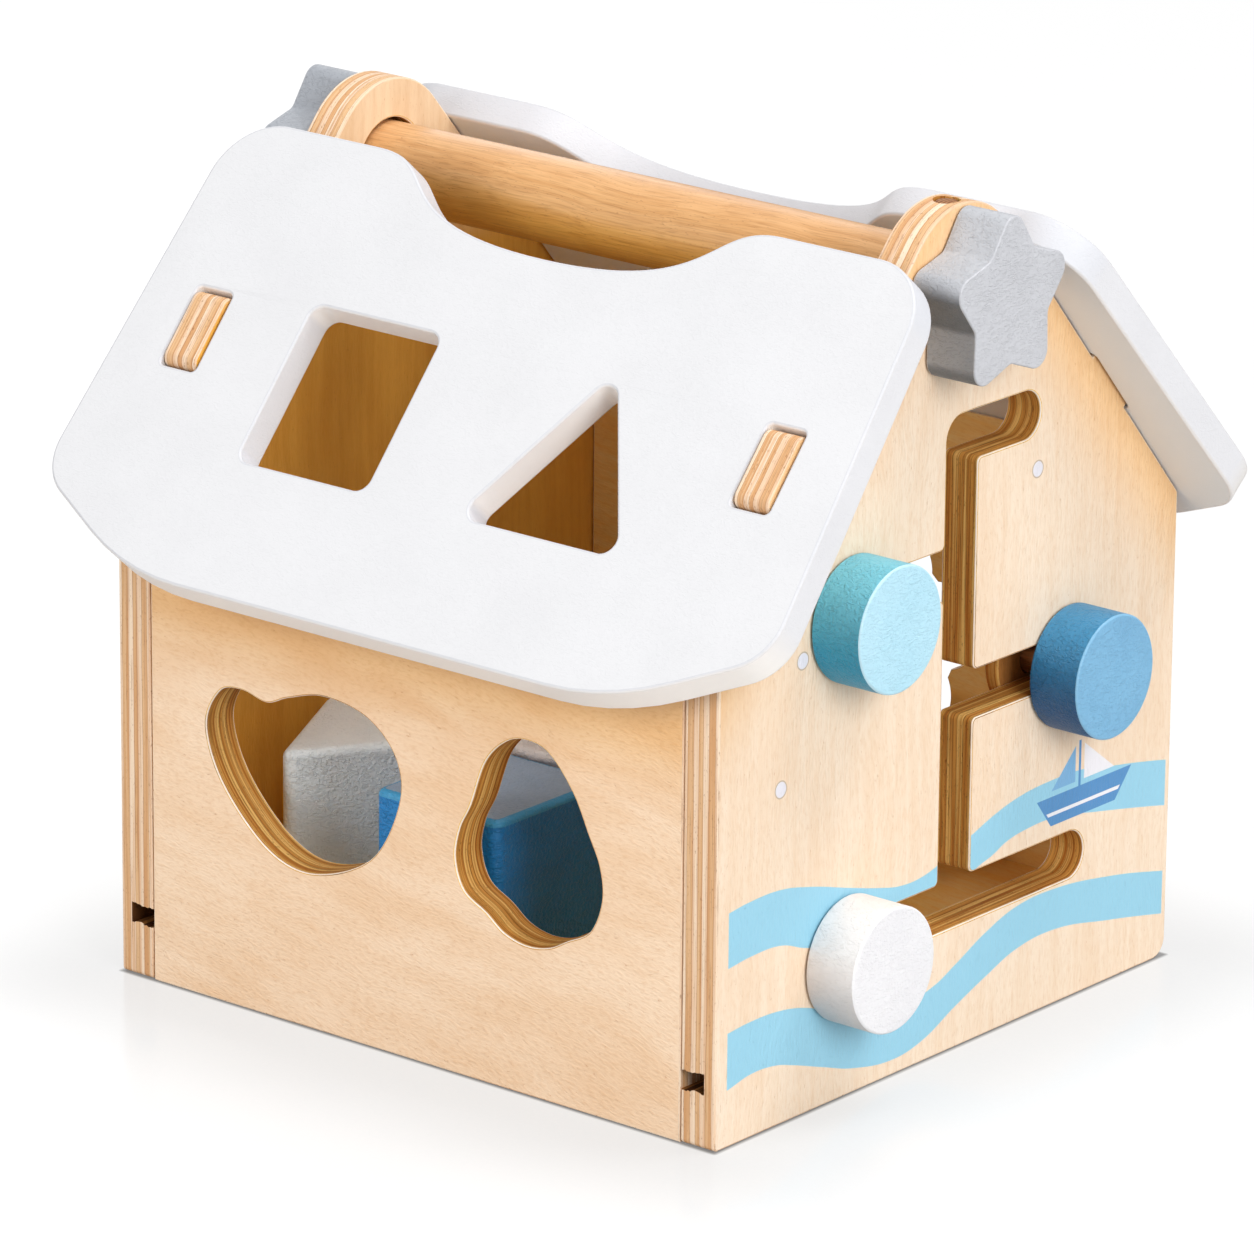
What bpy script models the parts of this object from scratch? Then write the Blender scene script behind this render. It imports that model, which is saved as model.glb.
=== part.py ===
"""Wooden toy house: a plywood shape sorter with a carrying handle and three knobs in a maze slot.

Metres, +Z up. The origin is the middle of the base. X runs along the ridge, the wall with the
two shape holes faces -Y and the gable with the maze slot faces +X.
"""

import math

import bmesh
import bpy
from mathutils import Vector

# Gables and walls
HOUSE_LENGTH = 0.184
HOUSE_DEPTH = 0.174
PLY = 0.010
EAVE_HEIGHT = 0.118
ROOF_ANGLE = math.radians(49.0)
BASE_FRONT_CORNER_RADIUS = 0.0012
BASE_BACK_CORNER_RADIUS = 0.0048
EAVE_CORNER_RADIUS = 0.0015
FIT_GAP = 0.0003

# Floor panel, held in a groove of each gable
FLOOR_THICKNESS = 0.0035
FLOOR_BOTTOM = 0.0141
GROOVE_DEPTH = 0.0068

# Roof panels, which lift off the gables' tabs
ROOF_THICKNESS = 0.0085
ROOF_EDGE_ROUND = 0.0014
ROOF_EDGE_STEPS = 1
ROOF_BELOW_EAVE = 0.0188
ROOF_UP_SLOPE = 0.100
ROOF_OVERHANG_AT_RIDGE = 0.0133
ROOF_OVERHANG_AT_EAVE = 0.0189
ROOF_RIDGE_CORNER_RADIUS = 0.0165
ROOF_EAVE_CORNER_RADIUS = 0.014
ROOF_EAVE_CUT_RISE = 0.0195
ROOF_EAVE_CUT_RUN = 0.0375
ROOF_EAVE_CUT_RADIUS = 0.070
SCOOP_DEPTH = 0.0184
SCOOP_HALF_WIDTH = 0.061
SCOOP_EDGE_HANDLE = 0.0212
SCOOP_BOTTOM_HANDLE = 0.0514
TAB_LENGTH = 0.020
TAB_MIDDLE_UP_SLOPE = 0.0444
TAB_PROUD = 0.0006
TAB_CORNER_RADIUS = 0.0028
TAB_SLOT_CORNER_RADIUS = 0.0015
TAB_CLEARANCE_ACROSS = 0.0006
TAB_CLEARANCE_ALONG = 0.0008

# Handle rod between the two ears, with a star on each end
ROD_DIAMETER = 0.021
ROD_CLEARANCE = 0.0006
EAR_RADIUS = 0.0212
STAR_TIP_RADIUS = 0.024
STAR_NOTCH_RADIUS = 0.0143
STAR_TIP_ROUND = 0.0042
STAR_NOTCH_ROUND = 0.003
STAR_THICKNESS = 0.014
STAR_EDGE_ROUND = 0.0009
STAR_BORE_DEPTH = 0.008
STAR_LOBES = 5
STAR_GAP = 0.0005
ROD_PIN_DIAMETER = 0.006
ROD_PIN_IN_ROD = 0.008

# Maze slot in the right gable, its branches at shares of the rod's height
SLOT_WIDTH = 0.012
SLOT_INNER_ROUND = 0.0016
SLOT_MIDDLE_Y = 0.0014
LOW_BRANCH_SHARE = 0.1959
MID_BRANCH_SHARE = 0.4667
UPPER_BRANCH_SHARE = 0.6395
TOP_BRANCH_SHARE = 0.8101
LOW_BRANCH_LEFT = -0.0457
LOW_BRANCH_RIGHT = 0.0526
MID_BRANCH_RIGHT = 0.0497
UPPER_BRANCH_LEFT = -0.0456
TOP_BRANCH_RIGHT = 0.0314

# Knobs, each on a peg through the slot with a disc inside
KNOB_DIAMETER = 0.0305
KNOB_LENGTH = 0.014
KNOB_EDGE_ROUND = 0.0011
KNOB_BORE_DEPTH = 0.009
PEG_DIAMETER = 0.008
DISC_DIAMETER = 0.026
DISC_THICKNESS = 0.004
KNOB_RUNNING_GAP = 0.0005

# Dowels that join the walls to the gables
DOWEL_DIAMETER = 0.006
DOWEL_IN_GABLE = 0.007
DOWEL_IN_WALL = 0.015
DOWEL_FROM_BASE = 0.033
DOWEL_FROM_EAVE = 0.018

# Shape holes of the front roof panel
OBLONG_WIDTH = 0.0399
OBLONG_HEIGHT = 0.0424
OBLONG_MIDDLE_X = -0.0371
OBLONG_CORNER_RADIUS = 0.0036
TRIANGLE_WIDTH = 0.0482
TRIANGLE_HEIGHT = 0.0436
TRIANGLE_MIDDLE_X = 0.0350
TRIANGLE_CORNER_RADIUS = 0.0036
ROOF_HOLES_UP_SLOPE = 0.0150

# Shape holes of the walls
CLOUD_WIDTH = 0.0611
CLOUD_HEIGHT = 0.0447
CLOUD_LEFT = -0.0642
CLOUD_BOTTOM = 0.0391
BELL_WIDTH = 0.0442
BELL_HEIGHT = 0.0501
BELL_LEFT = 0.0137
BELL_BOTTOM = 0.0368
PETAL_COUNT = 5
PETAL_RADIUS = 0.011
PETAL_FROM_MIDDLE = 0.0165
FIRST_PETAL_ANGLE = math.radians(12.0)
NOTCH_EASE = math.radians(12.0)
FLOWER_MIDDLE_X = 0.0134
FLOWER_MIDDLE_Z = 0.0698

# Loose blocks on the floor, placed from the inner faces of the gables and walls
BLOCK_HEIGHT = 0.0404
BLOCK_CLEARANCE = 0.0008
BLOCK_CORNER_RADIUS = 0.0028
BLOCK_EDGE_CHAMFER = 0.0022
TRIANGLE_BLOCK_FROM_LEFT = 0.0243
TRIANGLE_BLOCK_FROM_FRONT = 0.0083
TRIANGLE_BLOCK_TURN = math.radians(55.7)
OBLONG_BLOCK_FROM_LEFT = 0.0966
OBLONG_BLOCK_FROM_FRONT = 0.0042
FLOWER_BLOCK_FROM_LEFT = 0.1045
FLOWER_BLOCK_FROM_BACK = 0.0340
BELL_BLOCK_FROM_LEFT = 0.0320
BELL_BLOCK_FROM_BACK = 0.0320
CLOUD_BLOCK_FROM_LEFT = 0.0680
CLOUD_BLOCK_FROM_FRONT = 0.0705

CUTTER_OVERRUN = 0.002
ARC_STEP = math.radians(18.0)
TURN_STEPS = 36
BAR_STEPS = 20
SMOOTH_STEPS = 3
SCOOP_STEPS = 12
EDGE_STEP = math.radians(45.0)
SHARP_ANGLE = math.radians(35.0)
MERGE_DISTANCE = 0.000001

# Shares of a hole's width and height, counter-clockwise from its left side
CLOUD_SHARES = [
    (0.000, 0.655), (0.070, 0.870), (0.185, 0.912), (0.315, 0.880), (0.430, 0.940), (0.610, 1.000),
    (0.830, 0.950), (0.975, 0.770), (0.990, 0.520), (0.850, 0.175), (0.560, 0.000), (0.320, 0.060),
    (0.090, 0.350),
]
BELL_SHARES = [
    (0.000, 0.330), (0.030, 0.480), (0.105, 0.610), (0.205, 0.840), (0.345, 0.965), (0.490, 1.000),
    (0.640, 0.965), (0.800, 0.810), (0.905, 0.630), (0.985, 0.480), (1.000, 0.320), (0.925, 0.160),
    (0.770, 0.080), (0.640, 0.020), (0.490, 0.000), (0.340, 0.030), (0.215, 0.105), (0.060, 0.185),
]

# Derived places
HALF_LENGTH = HOUSE_LENGTH / 2
HALF_DEPTH = HOUSE_DEPTH / 2
INNER_X = HALF_LENGTH - PLY
INNER_Y = HALF_DEPTH - PLY
ROOF_HALF_AT_RIDGE = HALF_LENGTH + ROOF_OVERHANG_AT_RIDGE
ROOF_HALF_AT_EAVE = HALF_LENGTH + ROOF_OVERHANG_AT_EAVE
APEX_HEIGHT = EAVE_HEIGHT + HALF_DEPTH * math.tan(ROOF_ANGLE)
ROD_HEIGHT = APEX_HEIGHT - EAR_RADIUS / math.cos(ROOF_ANGLE)
ROD_RADIUS = ROD_DIAMETER / 2
ROD_HOLE_RADIUS = ROD_RADIUS + ROD_CLEARANCE
PEG_RADIUS = PEG_DIAMETER / 2
PEG_DROP = SLOT_WIDTH / 2 - PEG_RADIUS - FIT_GAP
SLOT_END_INSET = SLOT_WIDTH / 2
LOW_BRANCH_Z = LOW_BRANCH_SHARE * ROD_HEIGHT
MID_BRANCH_Z = MID_BRANCH_SHARE * ROD_HEIGHT
UPPER_BRANCH_Z = UPPER_BRANCH_SHARE * ROD_HEIGHT
TOP_BRANCH_Z = TOP_BRANCH_SHARE * ROD_HEIGHT
FLOOR_TOP = FLOOR_BOTTOM + FLOOR_THICKNESS
WALL_TOP = EAVE_HEIGHT + PLY * math.tan(ROOF_ANGLE)
WALL_HALF_LENGTH = INNER_X - FIT_GAP
FACES_X = (math.pi / 2, 0, math.pi / 2)
FACES_FRONT = (math.pi / 2, 0, 0)
TURNED_ALONG_X = (0, math.pi / 2, 0)


def start_scene():
    """Empty the scene and return the collections for the house and for its cutters."""
    for old in list(bpy.data.objects):
        bpy.data.objects.remove(old, do_unlink=True)
    for old in list(bpy.data.collections):
        bpy.data.collections.remove(old)
    house = bpy.data.collections.new("wooden_toy_house")
    cutters = bpy.data.collections.new("cutters")
    for made in (house, cutters):
        bpy.context.scene.collection.children.link(made)
    return house, cutters


HOUSE, CUTTERS = start_scene()


def material(name, colour, roughness):
    """A plain Principled material."""
    made = bpy.data.materials.new(name)
    made.use_nodes = True
    shader = made.node_tree.nodes["Principled BSDF"]
    shader.inputs["Base Color"].default_value = (*colour, 1.0)
    shader.inputs["Roughness"].default_value = roughness
    shader.inputs["Metallic"].default_value = 0.0
    return made


PLYWOOD = material("birch_plywood", (0.86, 0.66, 0.45), 0.55)
FLOOR_PLY = material("floor_plywood", (0.72, 0.50, 0.30), 0.6)
WHITE_PAINT = material("white_paint", (0.90, 0.90, 0.91), 0.45)
GREY_PAINT = material("grey_paint", (0.44, 0.46, 0.49), 0.45)
LIGHT_BLUE_PAINT = material("light_blue_paint", (0.36, 0.72, 0.83), 0.4)
BLUE_PAINT = material("blue_paint", (0.13, 0.36, 0.60), 0.4)
PALE_GREY_PAINT = material("pale_grey_paint", (0.70, 0.70, 0.70), 0.45)
YELLOW_PAINT = material("yellow_paint", (0.90, 0.72, 0.12), 0.4)
ROD_VARNISH = material("varnished_beech", (0.68, 0.38, 0.14), 0.35)
DOWEL_WOOD = material("beech_dowel", (0.60, 0.38, 0.20), 0.6)


def arc(middle, radius, start, end, step=ARC_STEP):
    """Points along an arc, both ends included."""
    count = max(2, math.ceil(abs(end - start) / step))
    return [
        (
            middle[0] + radius * math.cos(start + (end - start) * i / count),
            middle[1] + radius * math.sin(start + (end - start) * i / count),
        )
        for i in range(count + 1)
    ]


def circle(middle, radius, steps=TURN_STEPS):
    """Points round a circle."""
    return arc(middle, radius, 0, math.tau, math.tau / steps)[:-1]


def rounded(corners):
    """Outline through corners given as (x, y, radius), each corner an arc of its radius."""
    points = []
    for index, (x, y, radius) in enumerate(corners):
        corner = Vector((x, y))
        if not radius:
            points.append((x, y))
            continue
        before = (Vector(corners[index - 1][:2]) - corner).normalized()
        after = (Vector(corners[(index + 1) % len(corners)][:2]) - corner).normalized()
        half = before.angle(after) / 2
        middle = corner + (before + after).normalized() * (radius / math.sin(half))
        first = corner + before * (radius / math.tan(half)) - middle
        last = corner + after * (radius / math.tan(half)) - middle
        start = math.atan2(first.y, first.x)
        turn = math.atan2(first.x * last.y - first.y * last.x, first.dot(last))
        points += arc(middle, radius, start, start + turn)
    return without_repeats(points)


def without_repeats(points):
    """The outline with points that coincide made one."""
    kept = []
    for point in points:
        if not kept or (Vector(point) - Vector(kept[-1])).length > MERGE_DISTANCE:
            kept.append(point)
    if (Vector(kept[0]) - Vector(kept[-1])).length <= MERGE_DISTANCE:
        kept.pop()
    return kept


def bezier(first, first_handle, last_handle, last, steps):
    """Points along a cubic Bezier stretch, both ends included."""
    points = []
    for i in range(steps + 1):
        t = i / steps
        s = 1 - t
        weights = (s * s * s, 3 * s * s * t, 3 * s * t * t, t * t * t)
        ends = (first, first_handle, last_handle, last)
        points.append(tuple(sum(w * p[axis] for w, p in zip(weights, ends)) for axis in (0, 1)))
    return points


def smooth_closed(points, steps):
    """A smooth closed curve through points, as short straight runs."""
    outline = []
    count = len(points)
    for i in range(count):
        before, start, end, after = (Vector(points[(i + k) % count]) for k in (-1, 0, 1, 2))
        first_handle = start + (end - before) / 6
        last_handle = end - (after - start) / 6
        outline += bezier(start, first_handle, last_handle, end, steps)[:-1]
    return outline


def mirrored(points):
    """The points mirrored in X and taken in the other order."""
    return [(-x, y) for x, y in reversed(points)]


def flat_piece(name, outlines, thickness, finish, edge_round=0.0, edge_steps=0, collection=HOUSE):
    """A plate of this thickness about its own XY plane, with every outline after the first a hole."""
    curve = bpy.data.curves.new(name, "CURVE")
    curve.dimensions = "2D"
    curve.fill_mode = "BOTH"
    curve.extrude = thickness / 2 - edge_round
    curve.bevel_depth = edge_round
    curve.bevel_resolution = edge_steps
    curve.offset = -edge_round
    for outline in outlines:
        spline = curve.splines.new("POLY")
        spline.points.add(len(outline) - 1)
        for point, (x, y) in zip(spline.points, outline):
            point.co = (x, y, 0, 1)
        spline.use_cyclic_u = True
    drawn = bpy.data.objects.new(name + "_outline", curve)
    collection.objects.link(drawn)
    graph = bpy.context.evaluated_depsgraph_get()
    mesh = bpy.data.meshes.new_from_object(drawn.evaluated_get(graph))
    bpy.data.objects.remove(drawn, do_unlink=True)
    welded = bmesh.new()
    welded.from_mesh(mesh)
    bmesh.ops.remove_doubles(welded, verts=welded.verts, dist=MERGE_DISTANCE)
    bmesh.ops.recalc_face_normals(welded, faces=welded.faces)
    welded.to_mesh(mesh)
    welded.free()
    return linked(name, mesh, finish, collection)


def linked(name, mesh, finish, collection=HOUSE):
    """An object with this mesh and finish, in its collection."""
    made = bpy.data.objects.new(name, mesh)
    if finish:
        mesh.materials.clear()
        mesh.materials.append(finish)
    mesh.shade_smooth()
    mesh.set_sharp_from_angle(angle=SHARP_ANGLE)
    collection.objects.link(made)
    return made


def round_bar(name, radius, length, finish, collection=HOUSE, steps=TURN_STEPS):
    """A round bar about its own Z axis, centred."""
    mesh = bpy.data.meshes.new(name)
    bar = bmesh.new()
    bmesh.ops.create_cone(bar, cap_ends=True, segments=steps, radius1=radius, radius2=radius, depth=length)
    bar.to_mesh(mesh)
    bar.free()
    return linked(name, mesh, finish, collection)


def box(name, low, high, finish, collection=HOUSE):
    """A box between two opposite corners."""
    mesh = bpy.data.meshes.new(name)
    cube = bmesh.new()
    bmesh.ops.create_cube(cube, size=1)
    size = [b - a for a, b in zip(low, high)]
    bmesh.ops.scale(cube, vec=size, verts=cube.verts)
    middle = [(a + b) / 2 for a, b in zip(low, high)]
    bmesh.ops.translate(cube, vec=middle, verts=cube.verts)
    cube.to_mesh(mesh)
    cube.free()
    return linked(name, mesh, finish, collection)


def turned(name, profile, finish):
    """A turned piece: a profile of (radius, height) points about the piece's own Z axis."""
    mesh = bpy.data.meshes.new(name)
    mesh.from_pydata([(r, 0, z) for r, z in profile], [(i, i + 1) for i in range(len(profile) - 1)], [])
    made = linked(name, mesh, finish)
    screw = made.modifiers.new("turned", "SCREW")
    screw.steps = TURN_STEPS
    screw.render_steps = TURN_STEPS
    screw.use_merge_vertices = True
    screw.merge_threshold = MERGE_DISTANCE
    return made


def hidden_cutter(cutter):
    """Keep a cutter out of the model."""
    cutter.hide_render = True
    cutter.display_type = "WIRE"
    return cutter


def cut(piece, cutters):
    """Take the cutters out of the piece."""
    for cutter in cutters:
        hidden_cutter(cutter)
        hole = piece.modifiers.new(cutter.name, "BOOLEAN")
        hole.operation = "DIFFERENCE"
        hole.object = cutter


def drill(name, radius, start, end):
    """A round cutter from start to end."""
    start = Vector(start)
    end = Vector(end)
    along = end - start
    cutter = round_bar(name, radius, along.length, None, CUTTERS, BAR_STEPS)
    cutter.location = (start + end) / 2
    cutter.rotation_euler = along.to_track_quat("Z", "Y").to_euler()
    return cutter


def up_slope(distance, outward=0.0):
    """(y, z) of a point on the back slope, this far up from the eave and out from the roof line."""
    return (
        HALF_DEPTH - distance * math.cos(ROOF_ANGLE) + outward * math.sin(ROOF_ANGLE),
        EAVE_HEIGHT + distance * math.sin(ROOF_ANGLE) + outward * math.cos(ROOF_ANGLE),
    )


def gable_outline():
    """The gable's edge: base, eaves, a tab on each slope, and the ear round the rod."""
    reach = FIT_GAP + ROOF_THICKNESS + TAB_PROUD
    low = TAB_MIDDLE_UP_SLOPE - TAB_LENGTH / 2
    high = TAB_MIDDLE_UP_SLOPE + TAB_LENGTH / 2
    right = [
        (HALF_DEPTH, 0, BASE_BACK_CORNER_RADIUS),
        (HALF_DEPTH, EAVE_HEIGHT, EAVE_CORNER_RADIUS),
        (*up_slope(low), 0),
        (*up_slope(low, reach), TAB_CORNER_RADIUS),
        (*up_slope(high, reach), TAB_CORNER_RADIUS),
        (*up_slope(high), 0),
    ]
    left = [(-y, z, radius) for y, z, radius in reversed(right[1:])]
    left.append((-HALF_DEPTH, 0, BASE_FRONT_CORNER_RADIUS))
    return rounded([*right, (0, APEX_HEIGHT, EAR_RADIUS), *left])


def maze_outline():
    """The slot that the three pegs run in: one upright run and four branches."""
    half = SLOT_WIDTH / 2
    left = SLOT_MIDDLE_Y - half
    right = SLOT_MIDDLE_Y + half
    inner = SLOT_INNER_ROUND
    return rounded([
        (LOW_BRANCH_LEFT, LOW_BRANCH_Z - half, half),
        (LOW_BRANCH_RIGHT, LOW_BRANCH_Z - half, half),
        (LOW_BRANCH_RIGHT, LOW_BRANCH_Z + half, half),
        (right, LOW_BRANCH_Z + half, inner),
        (right, MID_BRANCH_Z - half, inner),
        (MID_BRANCH_RIGHT, MID_BRANCH_Z - half, half),
        (MID_BRANCH_RIGHT, MID_BRANCH_Z + half, half),
        (right, MID_BRANCH_Z + half, inner),
        (right, TOP_BRANCH_Z - half, inner),
        (TOP_BRANCH_RIGHT, TOP_BRANCH_Z - half, half),
        (TOP_BRANCH_RIGHT, TOP_BRANCH_Z + half, half),
        (left, TOP_BRANCH_Z + half, half),
        (left, UPPER_BRANCH_Z + half, inner),
        (UPPER_BRANCH_LEFT, UPPER_BRANCH_Z + half, half),
        (UPPER_BRANCH_LEFT, UPPER_BRANCH_Z - half, half),
        (left, UPPER_BRANCH_Z - half, inner),
        (left, LOW_BRANCH_Z + half, inner),
        (LOW_BRANCH_LEFT, LOW_BRANCH_Z + half, half),
    ])


def shape_from_shares(shares, left, bottom, width, height, inset=0.0):
    """A smooth outline from shares of a width and a height, drawn in by the inset on every side."""
    return smooth_closed(
        [
            (left + inset + u * (width - 2 * inset), bottom + inset + v * (height - 2 * inset))
            for u, v in reversed(shares)
        ],
        SMOOTH_STEPS,
    )


def flower_outline(middle, inset=0.0):
    """Five round petals, their notches eased."""
    radius = PETAL_RADIUS - inset
    half_share = math.pi / PETAL_COUNT
    reach = math.sqrt(radius ** 2 - (PETAL_FROM_MIDDLE * math.sin(half_share)) ** 2)
    notch = PETAL_FROM_MIDDLE * math.cos(half_share) + reach
    opening = math.atan2(notch * math.sin(half_share), notch * math.cos(half_share) - PETAL_FROM_MIDDLE)
    half_arc = opening - NOTCH_EASE
    points = []
    for i in range(PETAL_COUNT):
        angle = FIRST_PETAL_ANGLE + 2 * half_share * i
        petal = (
            middle[0] + PETAL_FROM_MIDDLE * math.cos(angle),
            middle[1] + PETAL_FROM_MIDDLE * math.sin(angle),
        )
        points += arc(petal, radius, angle - half_arc, angle + half_arc, ARC_STEP)
    return without_repeats(points)


def oblong_outline(left, bottom, width, height, radius=OBLONG_CORNER_RADIUS):
    """A rectangle with rounded corners."""
    return rounded([
        (left, bottom, radius),
        (left + width, bottom, radius),
        (left + width, bottom + height, radius),
        (left, bottom + height, radius),
    ])


def triangle_outline(left, bottom, width, height, radius=TRIANGLE_CORNER_RADIUS):
    """A triangle with rounded corners, standing on its base."""
    return rounded([
        (left, bottom, radius),
        (left + width, bottom, radius),
        (left + width / 2, bottom + height, radius),
    ])


def dowel_heights():
    """Heights of the two dowels at each end of a wall."""
    return (DOWEL_FROM_BASE, EAVE_HEIGHT - DOWEL_FROM_EAVE)


def add_gable(name, side):
    """One gable, at side -1 or 1 along X, with its floor groove and dowel sockets."""
    holes = [circle((0, ROD_HEIGHT), ROD_HOLE_RADIUS)]
    if side > 0:
        holes.append(maze_outline())
    gable = flat_piece(name, [gable_outline(), *holes], PLY, PLYWOOD)
    gable.rotation_euler = FACES_X
    gable.location = (side * (HALF_LENGTH - PLY / 2), 0, 0)
    inner = side * (INNER_X - CUTTER_OVERRUN)
    deep = side * (INNER_X + GROOVE_DEPTH)
    groove = box(
        name + "_groove",
        (min(inner, deep), -HALF_DEPTH - CUTTER_OVERRUN, FLOOR_BOTTOM - FIT_GAP),
        (max(inner, deep), HALF_DEPTH + CUTTER_OVERRUN, FLOOR_TOP + FIT_GAP),
        None,
        CUTTERS,
    )
    cutters = [groove]
    for wall_side, wall_name in ((-1, "front"), (1, "back")):
        for height in dowel_heights():
            y = wall_side * (HALF_DEPTH - PLY / 2)
            cutters.append(drill(
                f"{name}_{wall_name}_socket",
                DOWEL_DIAMETER / 2 + FIT_GAP,
                (side * (INNER_X - CUTTER_OVERRUN), y, height),
                (side * (INNER_X + DOWEL_IN_GABLE + FIT_GAP), y, height),
            ))
    if side > 0:
        cutters.append(drill(
            "rod_pin_hole",
            ROD_PIN_DIAMETER / 2 + FIT_GAP,
            (gable.location.x, 0, ROD_HEIGHT),
            (gable.location.x, 0, ROD_HEIGHT + EAR_RADIUS + CUTTER_OVERRUN),
        ))
    cut(gable, cutters)
    return gable


def add_wall(name, side, hole_outlines):
    """The front wall (side -1) or back wall (side 1), its top planed to the roof's slope."""
    plate = rounded([
        (-WALL_HALF_LENGTH, 0, 0),
        (WALL_HALF_LENGTH, 0, 0),
        (WALL_HALF_LENGTH, WALL_TOP, 0),
        (-WALL_HALF_LENGTH, WALL_TOP, 0),
    ])
    wall = flat_piece(name, [plate, *hole_outlines], PLY, PLYWOOD)
    wall.rotation_euler = FACES_FRONT
    wall.location = (0, side * (HALF_DEPTH - PLY / 2), 0)
    plane = box(
        name + "_top_plane",
        (-HALF_LENGTH, -HALF_DEPTH, 0),
        (HALF_LENGTH, HALF_DEPTH, HALF_DEPTH),
        None,
        CUTTERS,
    )
    plane.rotation_euler = (-side * ROOF_ANGLE, 0, 0)
    plane.location = (0, side * HALF_DEPTH, EAVE_HEIGHT)
    cutters = [plane]
    for end in (-1, 1):
        for height in dowel_heights():
            cutters.append(drill(
                name + "_socket",
                DOWEL_DIAMETER / 2 + FIT_GAP,
                (end * (WALL_HALF_LENGTH + CUTTER_OVERRUN), wall.location.y, height),
                (end * (INNER_X - DOWEL_IN_WALL - FIT_GAP), wall.location.y, height),
            ))
    cut(wall, cutters)
    return wall


def add_dowels():
    """Two dowels at each end of each wall."""
    length = DOWEL_IN_GABLE + DOWEL_IN_WALL
    for wall_side, wall_name in ((-1, "front"), (1, "back")):
        for end, end_name in ((-1, "left"), (1, "right")):
            for height, height_name in zip(dowel_heights(), ("lower", "upper")):
                name = f"dowel_{wall_name}_{end_name}_{height_name}"
                dowel = round_bar(name, DOWEL_DIAMETER / 2, length, DOWEL_WOOD, HOUSE, BAR_STEPS)
                dowel.rotation_euler = TURNED_ALONG_X
                x = INNER_X + DOWEL_IN_GABLE - length / 2
                dowel.location = (end * x, wall_side * (HALF_DEPTH - PLY / 2), height)


def add_floor():
    """The floor panel, let into the gables' grooves and standing between the walls."""
    half_x = INNER_X + GROOVE_DEPTH - FIT_GAP
    half_y = INNER_Y - FIT_GAP
    return box("floor_panel", (-half_x, -half_y, FLOOR_BOTTOM), (half_x, half_y, FLOOR_TOP), FLOOR_PLY)


def roof_outline():
    """A roof panel's edge, in its own plane: X along the eave, Y up the slope from the eave line."""
    half = [
        (ROOF_HALF_AT_EAVE - ROOF_EAVE_CUT_RUN, -ROOF_BELOW_EAVE, ROOF_EAVE_CUT_RADIUS),
        (ROOF_HALF_AT_EAVE, ROOF_EAVE_CUT_RISE - ROOF_BELOW_EAVE, ROOF_EAVE_CORNER_RADIUS),
        (ROOF_HALF_AT_RIDGE, ROOF_UP_SLOPE, ROOF_RIDGE_CORNER_RADIUS),
    ]
    other = [(-x, y, radius) for x, y, radius in reversed(half)]
    edge = rounded([*half, *other])
    scoop = bezier(
        (SCOOP_HALF_WIDTH, ROOF_UP_SLOPE),
        (SCOOP_HALF_WIDTH - SCOOP_EDGE_HANDLE, ROOF_UP_SLOPE),
        (SCOOP_BOTTOM_HANDLE, ROOF_UP_SLOPE - SCOOP_DEPTH),
        (0, ROOF_UP_SLOPE - SCOOP_DEPTH),
        SCOOP_STEPS,
    )
    scoop += mirrored(scoop)[1:]
    top = ROOF_UP_SLOPE - MERGE_DISTANCE
    split = next(i for i, (x, y) in enumerate(edge) if y >= top and x < SCOOP_HALF_WIDTH)
    return [*edge[:split], *scoop, *edge[split:]]


def tab_slot(middle_x):
    """The slot that a gable's tab stands in."""
    half_x = PLY / 2 + TAB_CLEARANCE_ACROSS
    half_y = TAB_LENGTH / 2 + TAB_CLEARANCE_ALONG
    return rounded([
        (middle_x - half_x, TAB_MIDDLE_UP_SLOPE - half_y, TAB_SLOT_CORNER_RADIUS),
        (middle_x + half_x, TAB_MIDDLE_UP_SLOPE - half_y, TAB_SLOT_CORNER_RADIUS),
        (middle_x + half_x, TAB_MIDDLE_UP_SLOPE + half_y, TAB_SLOT_CORNER_RADIUS),
        (middle_x - half_x, TAB_MIDDLE_UP_SLOPE + half_y, TAB_SLOT_CORNER_RADIUS),
    ])


def add_roof(name, side, hole_outlines):
    """A roof panel, on the front slope (side -1) or the back slope (side 1)."""
    slots = [tab_slot(end * (HALF_LENGTH - PLY / 2)) for end in (-1, 1)]
    panel = flat_piece(
        name,
        [roof_outline(), *slots, *hole_outlines],
        ROOF_THICKNESS,
        WHITE_PAINT,
        ROOF_EDGE_ROUND,
        ROOF_EDGE_STEPS,
    )
    out = FIT_GAP + ROOF_THICKNESS / 2
    y, z = up_slope(0, out)
    panel.location = (0, side * y, z)
    panel.rotation_euler = (ROOF_ANGLE, 0, 0 if side < 0 else math.pi)
    return panel


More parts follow.
